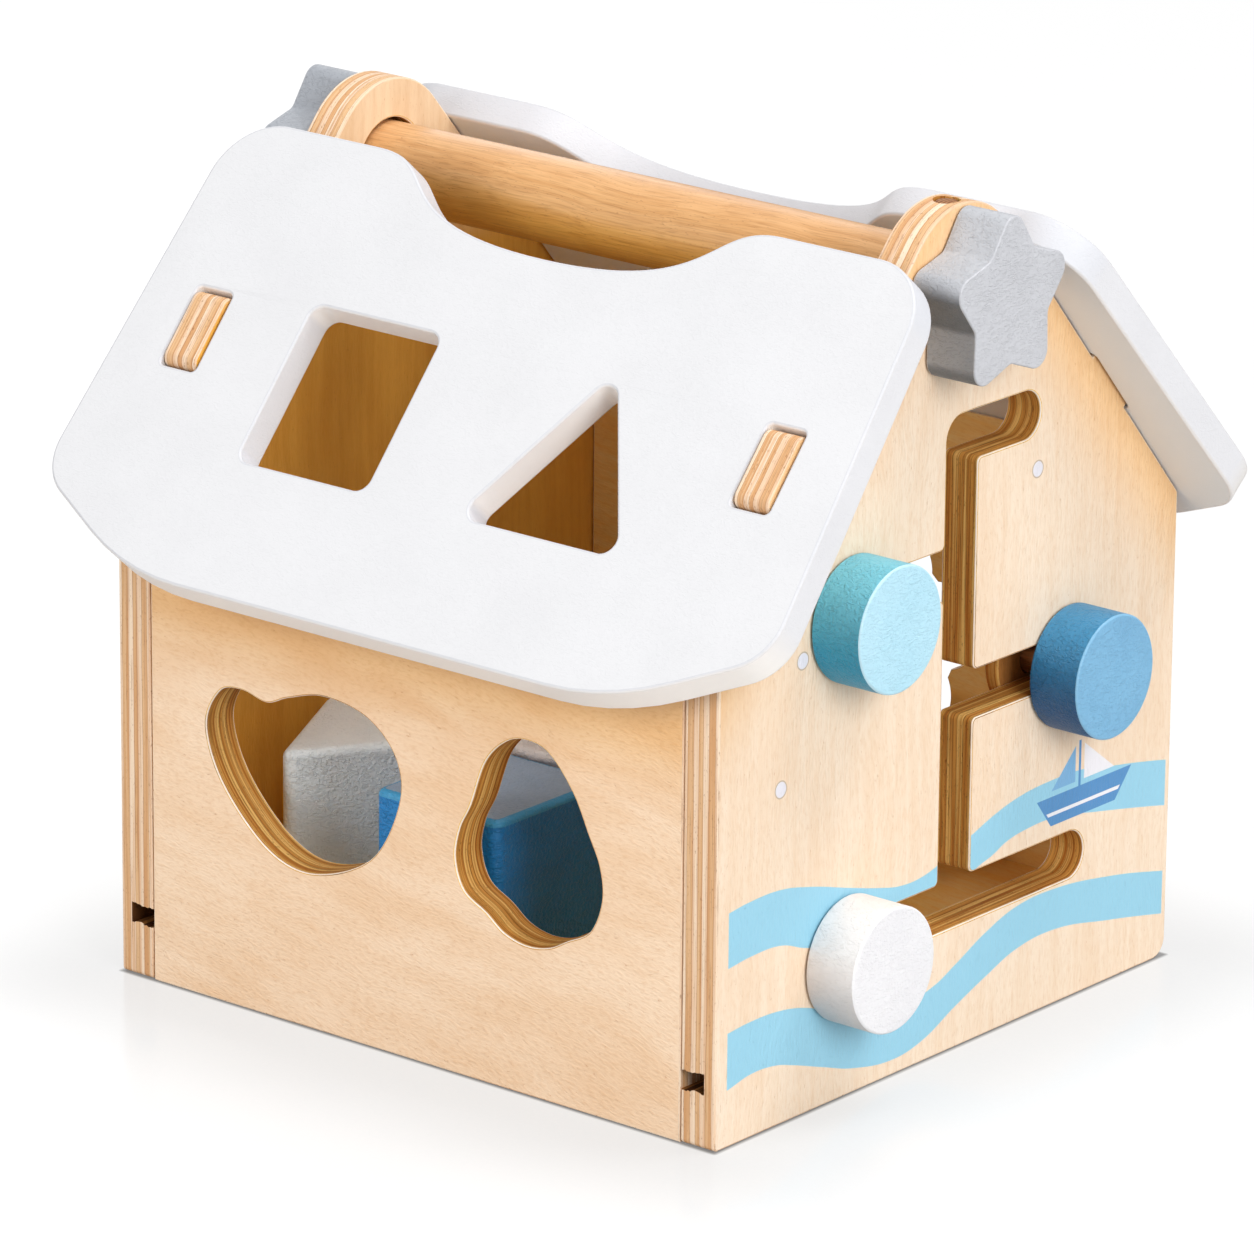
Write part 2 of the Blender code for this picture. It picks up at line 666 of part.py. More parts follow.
def add_handle():
    """The rod through both ears, its locking pin, and a star on each end."""
    rod_end = HALF_LENGTH + STAR_GAP + STAR_BORE_DEPTH - FIT_GAP
    rod = round_bar("handle_rod", ROD_RADIUS, 2 * rod_end, ROD_VARNISH)
    rod.rotation_euler = TURNED_ALONG_X
    rod.location = (0, 0, ROD_HEIGHT)
    pin_x = HALF_LENGTH - PLY / 2
    pin_low = ROD_HEIGHT + ROD_RADIUS - ROD_PIN_IN_ROD
    cut(rod, [drill(
        "rod_pin_socket",
        ROD_PIN_DIAMETER / 2 + FIT_GAP,
        (pin_x, 0, pin_low - FIT_GAP),
        (pin_x, 0, ROD_HEIGHT + ROD_RADIUS + CUTTER_OVERRUN),
    )])
    pin_high = ROD_HEIGHT + EAR_RADIUS - FIT_GAP
    pin = round_bar("handle_pin", ROD_PIN_DIAMETER / 2, pin_high - pin_low, DOWEL_WOOD, HOUSE, BAR_STEPS)
    pin.location = (pin_x, 0, (pin_low + pin_high) / 2)
    for side, side_name in ((-1, "left"), (1, "right")):
        outline = star_outline()
        star = flat_piece("star_" + side_name, [outline], STAR_THICKNESS, GREY_PAINT, STAR_EDGE_ROUND)
        star.rotation_euler = FACES_X
        star.location = (side * (HALF_LENGTH + STAR_GAP + STAR_THICKNESS / 2), 0, ROD_HEIGHT)
        cut(star, [drill(
            f"star_{side_name}_bore",
            ROD_RADIUS + FIT_GAP,
            (side * (HALF_LENGTH - CUTTER_OVERRUN), 0, ROD_HEIGHT),
            (side * (HALF_LENGTH + STAR_GAP + STAR_BORE_DEPTH), 0, ROD_HEIGHT),
        )])


def star_outline():
    """A star with rounded tips, one tip up."""
    corners = []
    for i in range(2 * STAR_LOBES):
        angle = math.pi / 2 + math.pi * i / STAR_LOBES
        radius, round_off = (
            (STAR_TIP_RADIUS, STAR_TIP_ROUND) if i % 2 == 0 else (STAR_NOTCH_RADIUS, STAR_NOTCH_ROUND)
        )
        corners.append((radius * math.cos(angle), radius * math.sin(angle), round_off))
    return rounded(corners)


def turned_edge(radius, height, round_off, upper):
    """Profile points for a rounded outer edge, from the top down."""
    middle = (radius - round_off, height - round_off if upper else height + round_off)
    if upper:
        return arc(middle, round_off, math.pi / 2, 0, EDGE_STEP)
    return arc(middle, round_off, 0, -math.pi / 2, EDGE_STEP)


def add_knob(colour_name, finish, y, branch_z):
    """A knob, its peg and its inner disc, carried by an empty on the peg's axis at the gable's face."""
    pivot = bpy.data.objects.new("pivot_" + colour_name, None)
    pivot.location = (HALF_LENGTH, y, branch_z - PEG_DROP)
    pivot.rotation_euler = TURNED_ALONG_X
    HOUSE.objects.link(pivot)
    bore = PEG_RADIUS + FIT_GAP
    knob_low = KNOB_RUNNING_GAP
    knob_high = KNOB_RUNNING_GAP + KNOB_LENGTH
    bore_top = knob_low + KNOB_BORE_DEPTH
    knob = turned(
        "knob_" + colour_name,
        [
            (0, knob_high),
            *turned_edge(KNOB_DIAMETER / 2, knob_high, KNOB_EDGE_ROUND, True),
            *turned_edge(KNOB_DIAMETER / 2, knob_low, KNOB_EDGE_ROUND, False),
            (bore, knob_low),
            (bore, bore_top),
            (0, bore_top),
        ],
        finish,
    )
    disc_high = -PLY - KNOB_RUNNING_GAP
    disc_low = disc_high - DISC_THICKNESS
    disc = turned(
        "disc_" + colour_name,
        [
            (bore, disc_high),
            (DISC_DIAMETER / 2, disc_high),
            (DISC_DIAMETER / 2, disc_low),
            (bore, disc_low),
            (bore, disc_high),
        ],
        PLYWOOD,
    )
    peg_high = bore_top - FIT_GAP
    peg = round_bar("peg_" + colour_name, PEG_RADIUS, peg_high - disc_low, DOWEL_WOOD, HOUSE, BAR_STEPS)
    peg.location = (0, 0, (peg_high + disc_low) / 2)
    for piece in (knob, disc, peg):
        piece.parent = pivot


def add_block(name, outline, finish, middle, turn=0.0):
    """A loose block that stands on the floor, its outline placed and turned about the vertical."""
    block = flat_piece(name, [outline], BLOCK_HEIGHT, finish, BLOCK_EDGE_CHAMFER)
    block.location = (*middle, FLOOR_TOP + FIT_GAP + BLOCK_HEIGHT / 2)
    block.rotation_euler = (0, 0, turn)


def add_blocks():
    """One block for each shape hole."""
    less = 2 * BLOCK_CLEARANCE
    width = TRIANGLE_WIDTH - less
    height = TRIANGLE_HEIGHT - less
    outline = triangle_outline(0, 0, width, height, BLOCK_CORNER_RADIUS)
    place = (TRIANGLE_BLOCK_FROM_LEFT - INNER_X, TRIANGLE_BLOCK_FROM_FRONT - INNER_Y)
    add_block("block_triangle", outline, PALE_GREY_PAINT, place, TRIANGLE_BLOCK_TURN)
    width = OBLONG_WIDTH - less
    height = OBLONG_HEIGHT - less
    outline = oblong_outline(-width, 0, width, height, BLOCK_CORNER_RADIUS)
    place = (OBLONG_BLOCK_FROM_LEFT - INNER_X, OBLONG_BLOCK_FROM_FRONT - INNER_Y)
    add_block("block_oblong", outline, BLUE_PAINT, place)
    outline = flower_outline((0, 0), BLOCK_CLEARANCE)
    place = (FLOWER_BLOCK_FROM_LEFT - INNER_X, INNER_Y - FLOWER_BLOCK_FROM_BACK)
    add_block("block_flower", outline, YELLOW_PAINT, place)
    low = (-BELL_WIDTH / 2, -BELL_HEIGHT / 2)
    outline = shape_from_shares(BELL_SHARES, *low, BELL_WIDTH, BELL_HEIGHT, BLOCK_CLEARANCE)
    place = (BELL_BLOCK_FROM_LEFT - INNER_X, INNER_Y - BELL_BLOCK_FROM_BACK)
    add_block("block_bell", outline, LIGHT_BLUE_PAINT, place)
    low = (-CLOUD_WIDTH / 2, -CLOUD_HEIGHT / 2)
    outline = shape_from_shares(CLOUD_SHARES, *low, CLOUD_WIDTH, CLOUD_HEIGHT, BLOCK_CLEARANCE)
    place = (CLOUD_BLOCK_FROM_LEFT - INNER_X, CLOUD_BLOCK_FROM_FRONT - INNER_Y)
    add_block("block_cloud", outline, WHITE_PAINT, place)


def build_house():
    """Every piece of the house."""
    add_gable("gable_left", -1)
    add_gable("gable_right", 1)
    add_wall("front_wall", -1, [
        shape_from_shares(CLOUD_SHARES, CLOUD_LEFT, CLOUD_BOTTOM, CLOUD_WIDTH, CLOUD_HEIGHT),
        shape_from_shares(BELL_SHARES, BELL_LEFT, BELL_BOTTOM, BELL_WIDTH, BELL_HEIGHT),
    ])
    add_wall("back_wall", 1, [flower_outline((FLOWER_MIDDLE_X, FLOWER_MIDDLE_Z))])
    add_dowels()
    add_floor()
    add_roof("roof_front", -1, [
        oblong_outline(
            OBLONG_MIDDLE_X - OBLONG_WIDTH / 2, ROOF_HOLES_UP_SLOPE, OBLONG_WIDTH, OBLONG_HEIGHT
        ),
        triangle_outline(
            TRIANGLE_MIDDLE_X - TRIANGLE_WIDTH / 2, ROOF_HOLES_UP_SLOPE, TRIANGLE_WIDTH, TRIANGLE_HEIGHT
        ),
    ])
    add_roof("roof_back", 1, [])
    add_handle()
    end_inset = SLOT_END_INSET
    add_knob("light_blue", LIGHT_BLUE_PAINT, UPPER_BRANCH_LEFT + end_inset, UPPER_BRANCH_Z)
    add_knob("blue", BLUE_PAINT, MID_BRANCH_RIGHT - end_inset, MID_BRANCH_Z)
    add_knob("white", WHITE_PAINT, LOW_BRANCH_LEFT + end_inset, LOW_BRANCH_Z)
    add_blocks()


build_house()
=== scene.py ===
import logging
import math
from dataclasses import dataclass
from enum import Enum
from functools import partial, reduce
from typing import Any, Callable, Sequence

import bmesh
import bpy
from mathutils import Matrix, Vector


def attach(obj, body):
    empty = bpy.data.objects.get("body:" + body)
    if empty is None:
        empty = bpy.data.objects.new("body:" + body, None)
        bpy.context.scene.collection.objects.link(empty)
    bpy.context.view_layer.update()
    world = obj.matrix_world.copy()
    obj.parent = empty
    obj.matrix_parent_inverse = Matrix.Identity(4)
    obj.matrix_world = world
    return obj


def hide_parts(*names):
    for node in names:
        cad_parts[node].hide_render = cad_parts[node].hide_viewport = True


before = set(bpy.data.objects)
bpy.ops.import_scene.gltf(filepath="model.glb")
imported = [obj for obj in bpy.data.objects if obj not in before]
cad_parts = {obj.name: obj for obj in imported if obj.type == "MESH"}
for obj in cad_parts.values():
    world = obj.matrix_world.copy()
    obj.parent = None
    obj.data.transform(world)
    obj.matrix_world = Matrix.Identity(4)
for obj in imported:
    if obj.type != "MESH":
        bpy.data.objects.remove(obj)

LOG = logging.getLogger("toy_house")

Point2 = tuple[float, float]
Point3 = tuple[float, float, float]
Outline = list[Point2]
Place = Callable[[float, float, float], Sequence[float]]
Piece = bpy.types.Object
Face = bpy.types.MeshPolygon
Material = bpy.types.Material
Node = bpy.types.Node
Tree = bpy.types.NodeTree
Add = Callable[..., Node]
Inputs = dict[int | str, Any]
Pick = Callable[[Face], int]

# Lengths are in metres, except where a name or a comment says millimetres
ARC_STEP = math.radians(6.0)
SHARP_ANGLE = math.radians(40.0)
EASED_ANGLE = math.radians(50.0)
MERGE_DISTANCE = 1e-6
FIT_GAP = 0.0003
# How far a cutter reaches past what it cuts
CUT_PAST = 0.002
# Half the width of an ink's edge
PRINT_BLUR = 0.00006
# How far off a face its surroundings are looked at, and how deep a face lies that is no outer edge
LOOK_AHEAD = 0.0004
BURIED = 0.0006
# A flat face's normal has more than this share of the flat side's direction
FLAT = 0.99

# Settings that several nodes share
SMOOTH = {"interpolation_type": "SMOOTHSTEP"}
COLOUR = {"data_type": "RGBA"}
TINTED = {"data_type": "RGBA", "blend_type": "MULTIPLY"}


class Axis(Enum):
    """A direction of the house: X along the ridge, Y from front to back, Z up."""

    X = (1.0, 0.0, 0.0)
    Y = (0.0, 1.0, 0.0)
    Z = (0.0, 0.0, 1.0)


class Side(Enum):
    """An end of the house, or a long side of it."""

    LEFT = -1
    RIGHT = 1
    FRONT = -2
    BACK = 2

    @property
    def sign(self) -> int:
        """Minus one for left and front, one for right and back."""
        return 1 if self.value > 0 else -1


# Drawing helpers


def linear(code: str) -> tuple[float, ...]:
    """Turn an sRGB hex colour to linear, with an alpha of one."""
    shares = [int(code[start:start + 2], 16) / 255 for start in (1, 3, 5)]
    return (*(s / 12.92 if s <= 0.04045 else ((s + 0.055) / 1.055) ** 2.4 for s in shares), 1.0)


def plug(tree: Tree, node: Node, values: Inputs) -> None:
    """Fill a node's inputs.

    Args:
        tree: The node tree.
        node: The node.
        values: For each input, by index or name, a hex colour, another value, a socket, or a node whose
            first output in use is linked.
    """
    for name, value in values.items():
        if isinstance(value, Node):
            value = next(output for output in value.outputs if output.enabled)
        if isinstance(value, bpy.types.NodeSocket):
            tree.links.new(value, node.inputs[name])
        else:
            node.inputs[name].default_value = linear(value) if isinstance(value, str) else value


def add_node(tree: Tree, kind: str, *values: Any, **settings: Any) -> Node:
    """Add a node with its settings and links.

    Args:
        tree: The node tree that gets it.
        kind: The node's type name, which for a shader node may leave out its first part.
        *values: What the inputs get in turn, or one dictionary of them as plug takes it.
        **settings: The node's properties. The stops of a ramp are (place, hex) pairs, and the points of
            a curve are (x, y) pairs.

    Returns:
        The new node.
    """
    node = tree.nodes.new(kind if "Node" in kind else "ShaderNode" + kind)
    for name, value in settings.items():
        if name == "stops":
            stops = node.color_ramp.elements
            while len(stops) < len(value):
                stops.new(0.5)
            for stop, (place, code) in zip(stops, value):
                stop.position = place
            for stop, (place, code) in zip(stops, value):
                stop.color = linear(code)
        elif name == "points":
            points = node.mapping.curves[0].points
            while len(points) < len(value):
                points.new(0.5, 0.5)
            for point, place in zip(points, value):
                point.location = place
            node.mapping.update()
        else:
            setattr(node, name, value)
    named = bool(values) and isinstance(values[0], dict)
    plug(tree, node, values[0] if named else dict(enumerate(values)))
    return node


def arc(middle: Sequence[float], radius: float, start: float, end: float, step: float = ARC_STEP) -> Outline:
    """Points along an arc.

    Args:
        middle: Its centre.
        radius: Its radius.
        start: The angle of its first point.
        end: The angle of its last point.
        step: The most that one straight run turns.

    Returns:
        The points, both ends included.
    """
    count = max(2, math.ceil(abs(end - start) / step))
    angles = [start + (end - start) * i / count for i in range(count + 1)]
    return [(middle[0] + radius * math.cos(a), middle[1] + radius * math.sin(a)) for a in angles]


def without_repeats(points: Outline) -> Outline:
    """Drop the points of an outline that coincide with the one before."""
    pairs = zip(points, points[-1:] + points[:-1])
    return [point for point, before in pairs if math.dist(point, before) > 4 * MERGE_DISTANCE]


def rounded(corners: Sequence[Point3]) -> Outline:
    """Draw an outline with rounded corners.

    Args:
        corners: Each corner as (x, y, radius).

    Returns:
        The outline, each corner an arc of its radius.
    """
    points: Outline = []
    for index, (x, y, radius) in enumerate(corners):
        if not radius:
            points.append((x, y))
            continue
        corner = Vector((x, y))
        before = (Vector(corners[index - 1][:2]) - corner).normalized()
        after = (Vector(corners[(index + 1) % len(corners)][:2]) - corner).normalized()
        half = before.angle(after) / 2
        middle = corner + (before + after).normalized() * (radius / math.sin(half))
        first = corner + before * (radius / math.tan(half)) - middle
        last = corner + after * (radius / math.tan(half)) - middle
        start = math.atan2(first.y, first.x)
        turn = math.atan2(first.x * last.y - first.y * last.x, first.dot(last))
        points += arc(middle, radius, start, start + turn)
    return without_repeats(points)


def rectangle(left: float, bottom: float, right: float, top: float, radius: float) -> Outline:
    """Draw a rectangle with rounded corners from its sides' places."""
    corners = ((left, bottom), (right, bottom), (right, top), (left, top))
    return rounded([(*corner, radius) for corner in corners])


def bezier(ends: Sequence[Sequence[float]], steps: int) -> Outline:
    """Draw a cubic Bezier stretch.

    Args:
        ends: The first point, its handle, the last point's handle and the last point.
        steps: The number of straight runs.

    Returns:
        The points, both ends included.
    """
    points: Outline = []
    for i in range(steps + 1):
        t = i / steps
        s = 1 - t
        weights = (s * s * s, 3 * s * s * t, 3 * s * t * t, t * t * t)
        points.append(tuple(sum(w * p[axis] for w, p in zip(weights, ends)) for axis in (0, 1)))
    return points


def smooth_closed(points: Outline, steps: int = 10) -> Outline:
    """Draw a smooth closed curve.

    Args:
        points: The points that it passes.
        steps: The straight runs between two of them.

    Returns:
        The outline.
    """
    outline: Outline = []
    count = len(points)
    for i in range(count):
        before, start, end, after = (Vector(points[(i + k) % count]) for k in (-1, 0, 1, 2))
        outline += bezier((start, start + (end - before) / 6, end - (after - start) / 6, end), steps)[:-1]
    return outline


def inside(point: Point2, outline: Outline) -> bool:
    """Tell whether a point lies inside an outline.

    Args:
        point: The point.
        outline: The outline.

    Returns:
        Whether it does.
    """
    found = False
    for (x0, y0), (x1, y1) in zip(outline, outline[1:] + outline[:1]):
        if (y0 > point[1]) != (y1 > point[1]) and point[0] < (x1 - x0) * (point[1] - y0) / (y1 - y0) + x0:
            found = not found
    return found


def new_piece(name: str, data: bpy.types.ID) -> Piece:
    """Link an object to the scene, at the origin.

    Args:
        name: Its name.
        data: Its mesh, curve, lamp or camera.

    Returns:
        The object.
    """
    piece = bpy.data.objects.new(name, data)
    bpy.context.scene.collection.objects.link(piece)
    return piece


def finished(name: str, shape: bmesh.types.BMesh) -> Piece:
    """Weld a drawn shape, turn its faces outwards and make it a piece.

    Args:
        name: The piece's name.
        shape: The shape, which is used up.

    Returns:
        The piece.
    """
    bmesh.ops.remove_doubles(shape, verts=shape.verts, dist=MERGE_DISTANCE)
    bmesh.ops.recalc_face_normals(shape, faces=shape.faces)
    mesh = bpy.data.meshes.new(name)
    shape.to_mesh(mesh)
    shape.free()
    return new_piece(name, mesh)


def evaluated_mesh(piece: Piece) -> bpy.types.Mesh:
    """Make a plain mesh of a piece as its modifiers or its curve leave it.

    Args:
        piece: The piece.

    Returns:
        The mesh.
    """
    graph = bpy.context.evaluated_depsgraph_get()
    graph.update()
    return bpy.data.meshes.new_from_object(piece.evaluated_get(graph))


def settle(piece: Piece) -> None:
    """Turn a piece's modifiers into plain mesh, and remove them.

    Args:
        piece: The piece.
    """
    old, mesh = piece.data, evaluated_mesh(piece)
    piece.modifiers.clear()
    piece.data = mesh
    bpy.data.meshes.remove(old)


def modify(piece: Piece, kind: str, **settings: Any) -> None:
    """Add a modifier.

    Args:
        piece: The piece that gets it.
        kind: The modifier's type.
        **settings: Its properties.
    """
    modifier = piece.modifiers.new(kind.lower(), kind)
    for name, value in settings.items():
        setattr(modifier, name, value)


def carve(piece: Piece, cutters: Sequence[Piece]) -> None:
    """Cut closed shapes out of a piece, and delete them.

    Args:
        piece: The piece.
        cutters: The shapes.
    """
    for cutter in cutters:
        modify(piece, "BOOLEAN", operation="DIFFERENCE", solver="EXACT", object=cutter)
    settle(piece)
    for cutter in cutters:
        bpy.data.objects.remove(cutter, do_unlink=True)


def prism(name: str, outline: Outline, low: float, high: float, place: Place) -> Piece:
    """Make a straight-sided solid from an outline.

    Args:
        name: The piece's name.
        outline: The outline in the solid's own plane.
        low: Where it starts, square to that plane.
        high: Where it ends.
        place: Turns own coordinates to the house's.

    Returns:
        The solid.
    """
    shape = bmesh.new()
    rings = [[shape.verts.new(place(x, y, z)) for x, y in outline] for z in (low, high)]
    for ring in rings:
        shape.faces.new(ring)
    for i in range(len(outline)):
        shape.faces.new((rings[0][i - 1], rings[0][i], rings[1][i], rings[1][i - 1]))
    return finished(name, shape)


def drill(radius: float, start: Sequence[float], end: Sequence[float]) -> Piece:
    """Make a round cutter.

    Args:
        radius: Its radius.
        start: The middle of one end.
        end: The middle of the other end.

    Returns:
        The cutter.
    """
    along = Vector(end) - Vector(start)
    turn = along.to_track_quat("Z", "Y")
    ring = arc((0, 0), radius, 0, math.tau, math.tau / 32)[:-1]
    return prism("drill", ring, 0, along.length, lambda x, y, z: Vector(start) + turn @ Vector((x, y, z)))


def turned(name: str, profile: Sequence[Point2], base: Sequence[float], axis: Axis, steps: int = 96) -> Piece:
    """Turn a piece on the lathe.

    Args:
        name: The piece's name.
        profile: (radius, height) points from one end to the other, both ends on the axis or joined.
        base: The place of height zero.
        axis: The lathe's axis.
        steps: Straight runs round the piece.

    Returns:
        The piece.
    """
    shape = bmesh.new()
    turn = Vector((0, 0, 1)).rotation_difference(Vector(axis.value))
    rings = []
    for radius, height in profile:
        angles = [math.tau * i / steps for i in range(steps if radius > MERGE_DISTANCE else 1)]
        points = [(radius * math.cos(a), radius * math.sin(a), height) for a in angles]
        ring = [shape.verts.new(Vector(base) + turn @ Vector(point)) for point in points]
        rings.append(ring if len(ring) > 1 else ring * steps)
    for low, high in zip(rings, rings[1:]):
        for i in range(steps):
            j = (i + 1) % steps
            shape.faces.new(tuple(dict.fromkeys((low[i], low[j], high[j], high[i]))))
    return finished(name, shape)


@dataclass
class Plate:
    """A flat piece with eased edges, cut to an outline with holes.

    A groove is given by the heights between which the faces sunk in the plate are its own.
    """

    name: str
    outline: Outline
    holes: list[Outline]
    thickness: float
    ease: float
    turn: Matrix
    ease_steps: int = 2
    groove: Point2 = (0.0, 0.0)

    def cut_out(self) -> Piece:
        """Build the plate in its place, its eased edges included."""
        curve = bpy.data.curves.new(self.name, "CURVE")
        curve.dimensions = "2D"
        curve.fill_mode = "BOTH"
        curve.extrude = self.thickness / 2 - self.ease
        curve.bevel_depth = self.ease
        curve.bevel_resolution = self.ease_steps
        curve.offset = -self.ease
        for outline in (self.outline, *self.holes):
            spline = curve.splines.new("POLY")
            spline.points.add(len(outline) - 1)
            for point, (x, y) in zip(spline.points, outline):
                point.co = (x, y, 0, 1)
            spline.use_cyclic_u = True
        mesh = evaluated_mesh(new_piece(self.name + "_outline", curve))
        bpy.data.curves.remove(curve)
        shape = bmesh.new()
        shape.from_mesh(mesh)
        bpy.data.meshes.remove(mesh)
        bmesh.ops.transform(shape, matrix=self.turn, verts=shape.verts)
        return finished(self.name, shape)

    def part_of(self, face: Face) -> int:
        """Tell which part of the plate a face belongs to.

        Args:
            face: The face.

        Returns:
            0 for the top, 1 for the bottom, 2 for the edge, 3 for a hole's wall, 4 for its rim and 5 for
            a groove.
        """
        back = self.turn.inverted()
        normal = back.to_3x3() @ face.normal
        middle = back @ face.center
        ahead = middle + normal * LOOK_AHEAD
        within = any(inside((ahead.x, ahead.y), hole) for hole in self.holes)
        outside = abs(middle.z) > self.thickness / 2 - 1.01 * self.ease
        if outside and abs(normal.z) > FLAT:
            return 0 if normal.z > 0 else 1
        if outside and within:
            return 4
        around = ((BURIED, 0), (-BURIED, 0), (0, BURIED), (0, -BURIED))
        if within or all(inside((middle.x + x, middle.y + y), self.outline) for x, y in around):
            return 5 if self.groove[0] < face.center.z < self.groove[1] else 3
        return 2


# Finishes


def millimetres(add: Add) -> Node:
    """Give the place on an object in millimetres."""
    return add("VectorMath", {0: add("TexCoord").outputs["Object"], "Scale": 1000.0}, operation="SCALE")


def stretched(add: Add, place: Node, axis: Axis, mark: Point2) -> Node:
    """Scale a place, so that one unit is one mark with sizes across an axis and along it."""
    return add("VectorMath", place, [1 / mark[int(part)] for part in axis.value], operation="MULTIPLY")


def looking_down(add: Add, low: float, high: float, most: float) -> Node:
    """Tell how much a face looks down, the most below one upward share of its normal and 0 above another."""
    # The share masks the painted light and shade on faces that look down
    apart = add("SeparateXYZ", add("NewGeometry").outputs["Normal"])
    return add("MapRange", apart.outputs["Z"], low, high, most, 0, **SMOOTH)


@dataclass(frozen=True)
class Finish:
    """A surface, built as one material."""

    name: str

    def draw(self, add: Add) -> tuple[Inputs, Inputs]:
        """Draw the surface.

        Args:
            add: Adds a node to the material.

        Returns:
            What the shader's inputs get, and what the bump's inputs get.
        """
        raise NotImplementedError

    def build(self) -> Material:
        """Build the material."""
        made = bpy.data.materials.new(self.name)
        made.use_nodes = True
        tree = made.node_tree
        surface, relief = self.draw(partial(add_node, tree))
        plug(tree, tree.nodes["Principled BSDF"], {**surface, "Normal": add_node(tree, "Bump", relief)})
        return made


@dataclass(frozen=True)
class WaveBand:
    """A printed band between two wavy edges, each given as (y, z) in millimetres on the gable."""

    top: tuple[Point2, ...]
    bottom: tuple[Point2, ...]

    def cover(self, add: Add, across: Any, up: Any, limits: Point2) -> Node:
        """Tell how much of the band covers each place.

        Args:
            add: Adds a node to the material.
            across: Distance from the gable's middle.
            up: Height above the base.
            limits: Where the band ends at the front and at the back.

        Returns:
            The node with the cover, from 0 to 1.
        """
        reach = 0.1
        share = add("MapRange", across, -reach, reach)
        parts = []
        for edge, sides in ((self.top, (1, 0)), (self.bottom, (0, 1))):
            points = [((y / 1000 + reach) / (2 * reach), z / 1000 / reach) for y, z in edge]
            line = add("FloatCurve", {"Value": share}, points=points)
            height = add("Math", line, reach, operation="MULTIPLY")
            over = add("Math", up, height, operation="SUBTRACT")
            parts.append(add("MapRange", over, -PRINT_BLUR, PRINT_BLUR, *sides, **SMOOTH))
        for limit, sides in zip(limits, ((0, 1), (1, 0))):
            parts.append(add("MapRange", across, limit - PRINT_BLUR, limit + PRINT_BLUR, *sides))
        return reduce(lambda a, b: add("Math", a, b, operation="MULTIPLY"), parts)


@dataclass(frozen=True)
class PrintedPatch:
    """A printed patch with straight sides, its corners counter-clockwise as (y, z) in millimetres."""

    ink: str
    corners: tuple[Point2, ...]

    def cover(self, add: Add, place: Node) -> Node:
        """Tell how much of the patch covers each place.

        Args:
            add: Adds a node to the material.
            place: The flat place on the gable.

        Returns:
            The node with the cover, from 0 to 1.
        """
        depths = []
        for (y0, z0), (y1, z1) in zip(self.corners, self.corners[1:] + self.corners[:1]):
            inward = Vector((z0 - z1, y1 - y0, 0)).normalized()
            reach = add("VectorMath", place, inward, operation="DOT_PRODUCT")
            depths.append(add("Math", reach, inward.dot((y0, z0, 0)) / 1000, operation="SUBTRACT"))
        least = reduce(lambda a, b: add("Math", a, b, operation="MINIMUM"), depths)
        return add("MapRange", least, -PRINT_BLUR, PRINT_BLUR, **SMOOTH)


@dataclass(frozen=True)
class GablePrint:
    """The inks printed on a gable: two bands, round dots and a small picture."""

    bands: tuple[WaveBand, ...]
    dots: tuple[Point2, ...]
    patches: tuple[PrintedPatch, ...]
    limits: Point2 = (-0.0827, 0.0853)
    ink: str = "#93d1ea"
    wood_through: float = 0.06
    dot_radius: float = 0.00195
    dot_blur: float = 0.00008
    dot_inks: tuple[tuple[float, str], ...] = ((1.14, "#c9b39c"), (0.97, "#ece9f0"))

    def lay(self, add: Add, wood: Node) -> tuple[Node, Node]:
        """Lay the inks over the wood.

        Args:
            add: Adds a node to the material.
            wood: The node with the wood's colour.

        Returns:
            The node with the colour, and the node that says how much ink there is.
        """
        apart = add("SeparateXYZ", add("TexCoord").outputs["Object"])
        across, up = apart.outputs["Y"], apart.outputs["Z"]
        flat = add("CombineXYZ", across, up)
        tint = add("Mix", {0: self.wood_through, 6: self.ink, 7: wood}, **COLOUR)
        layers = [(band.cover(add, across, up, self.limits), tint) for band in self.bands]
        for y, z in self.dots:
            gap = add("VectorMath", flat, (y / 1000, z / 1000, 0), operation="DISTANCE")
            for part, ink in self.dot_inks:
                edge = self.dot_radius * part
                share = add("MapRange", gap, edge - self.dot_blur, edge + self.dot_blur, 1, 0, **SMOOTH)
                layers.append((share, ink))
        layers += [(patch.cover(add, flat), patch.ink) for patch in self.patches]
        colour = wood
        for share, ink in layers:
            colour = add("Mix", {0: share, 6: colour, 7: ink}, **COLOUR)
        shares = [share for share, ink in layers]
        return colour, reduce(lambda a, b: add("Math", a, b, operation="MAXIMUM"), shares)


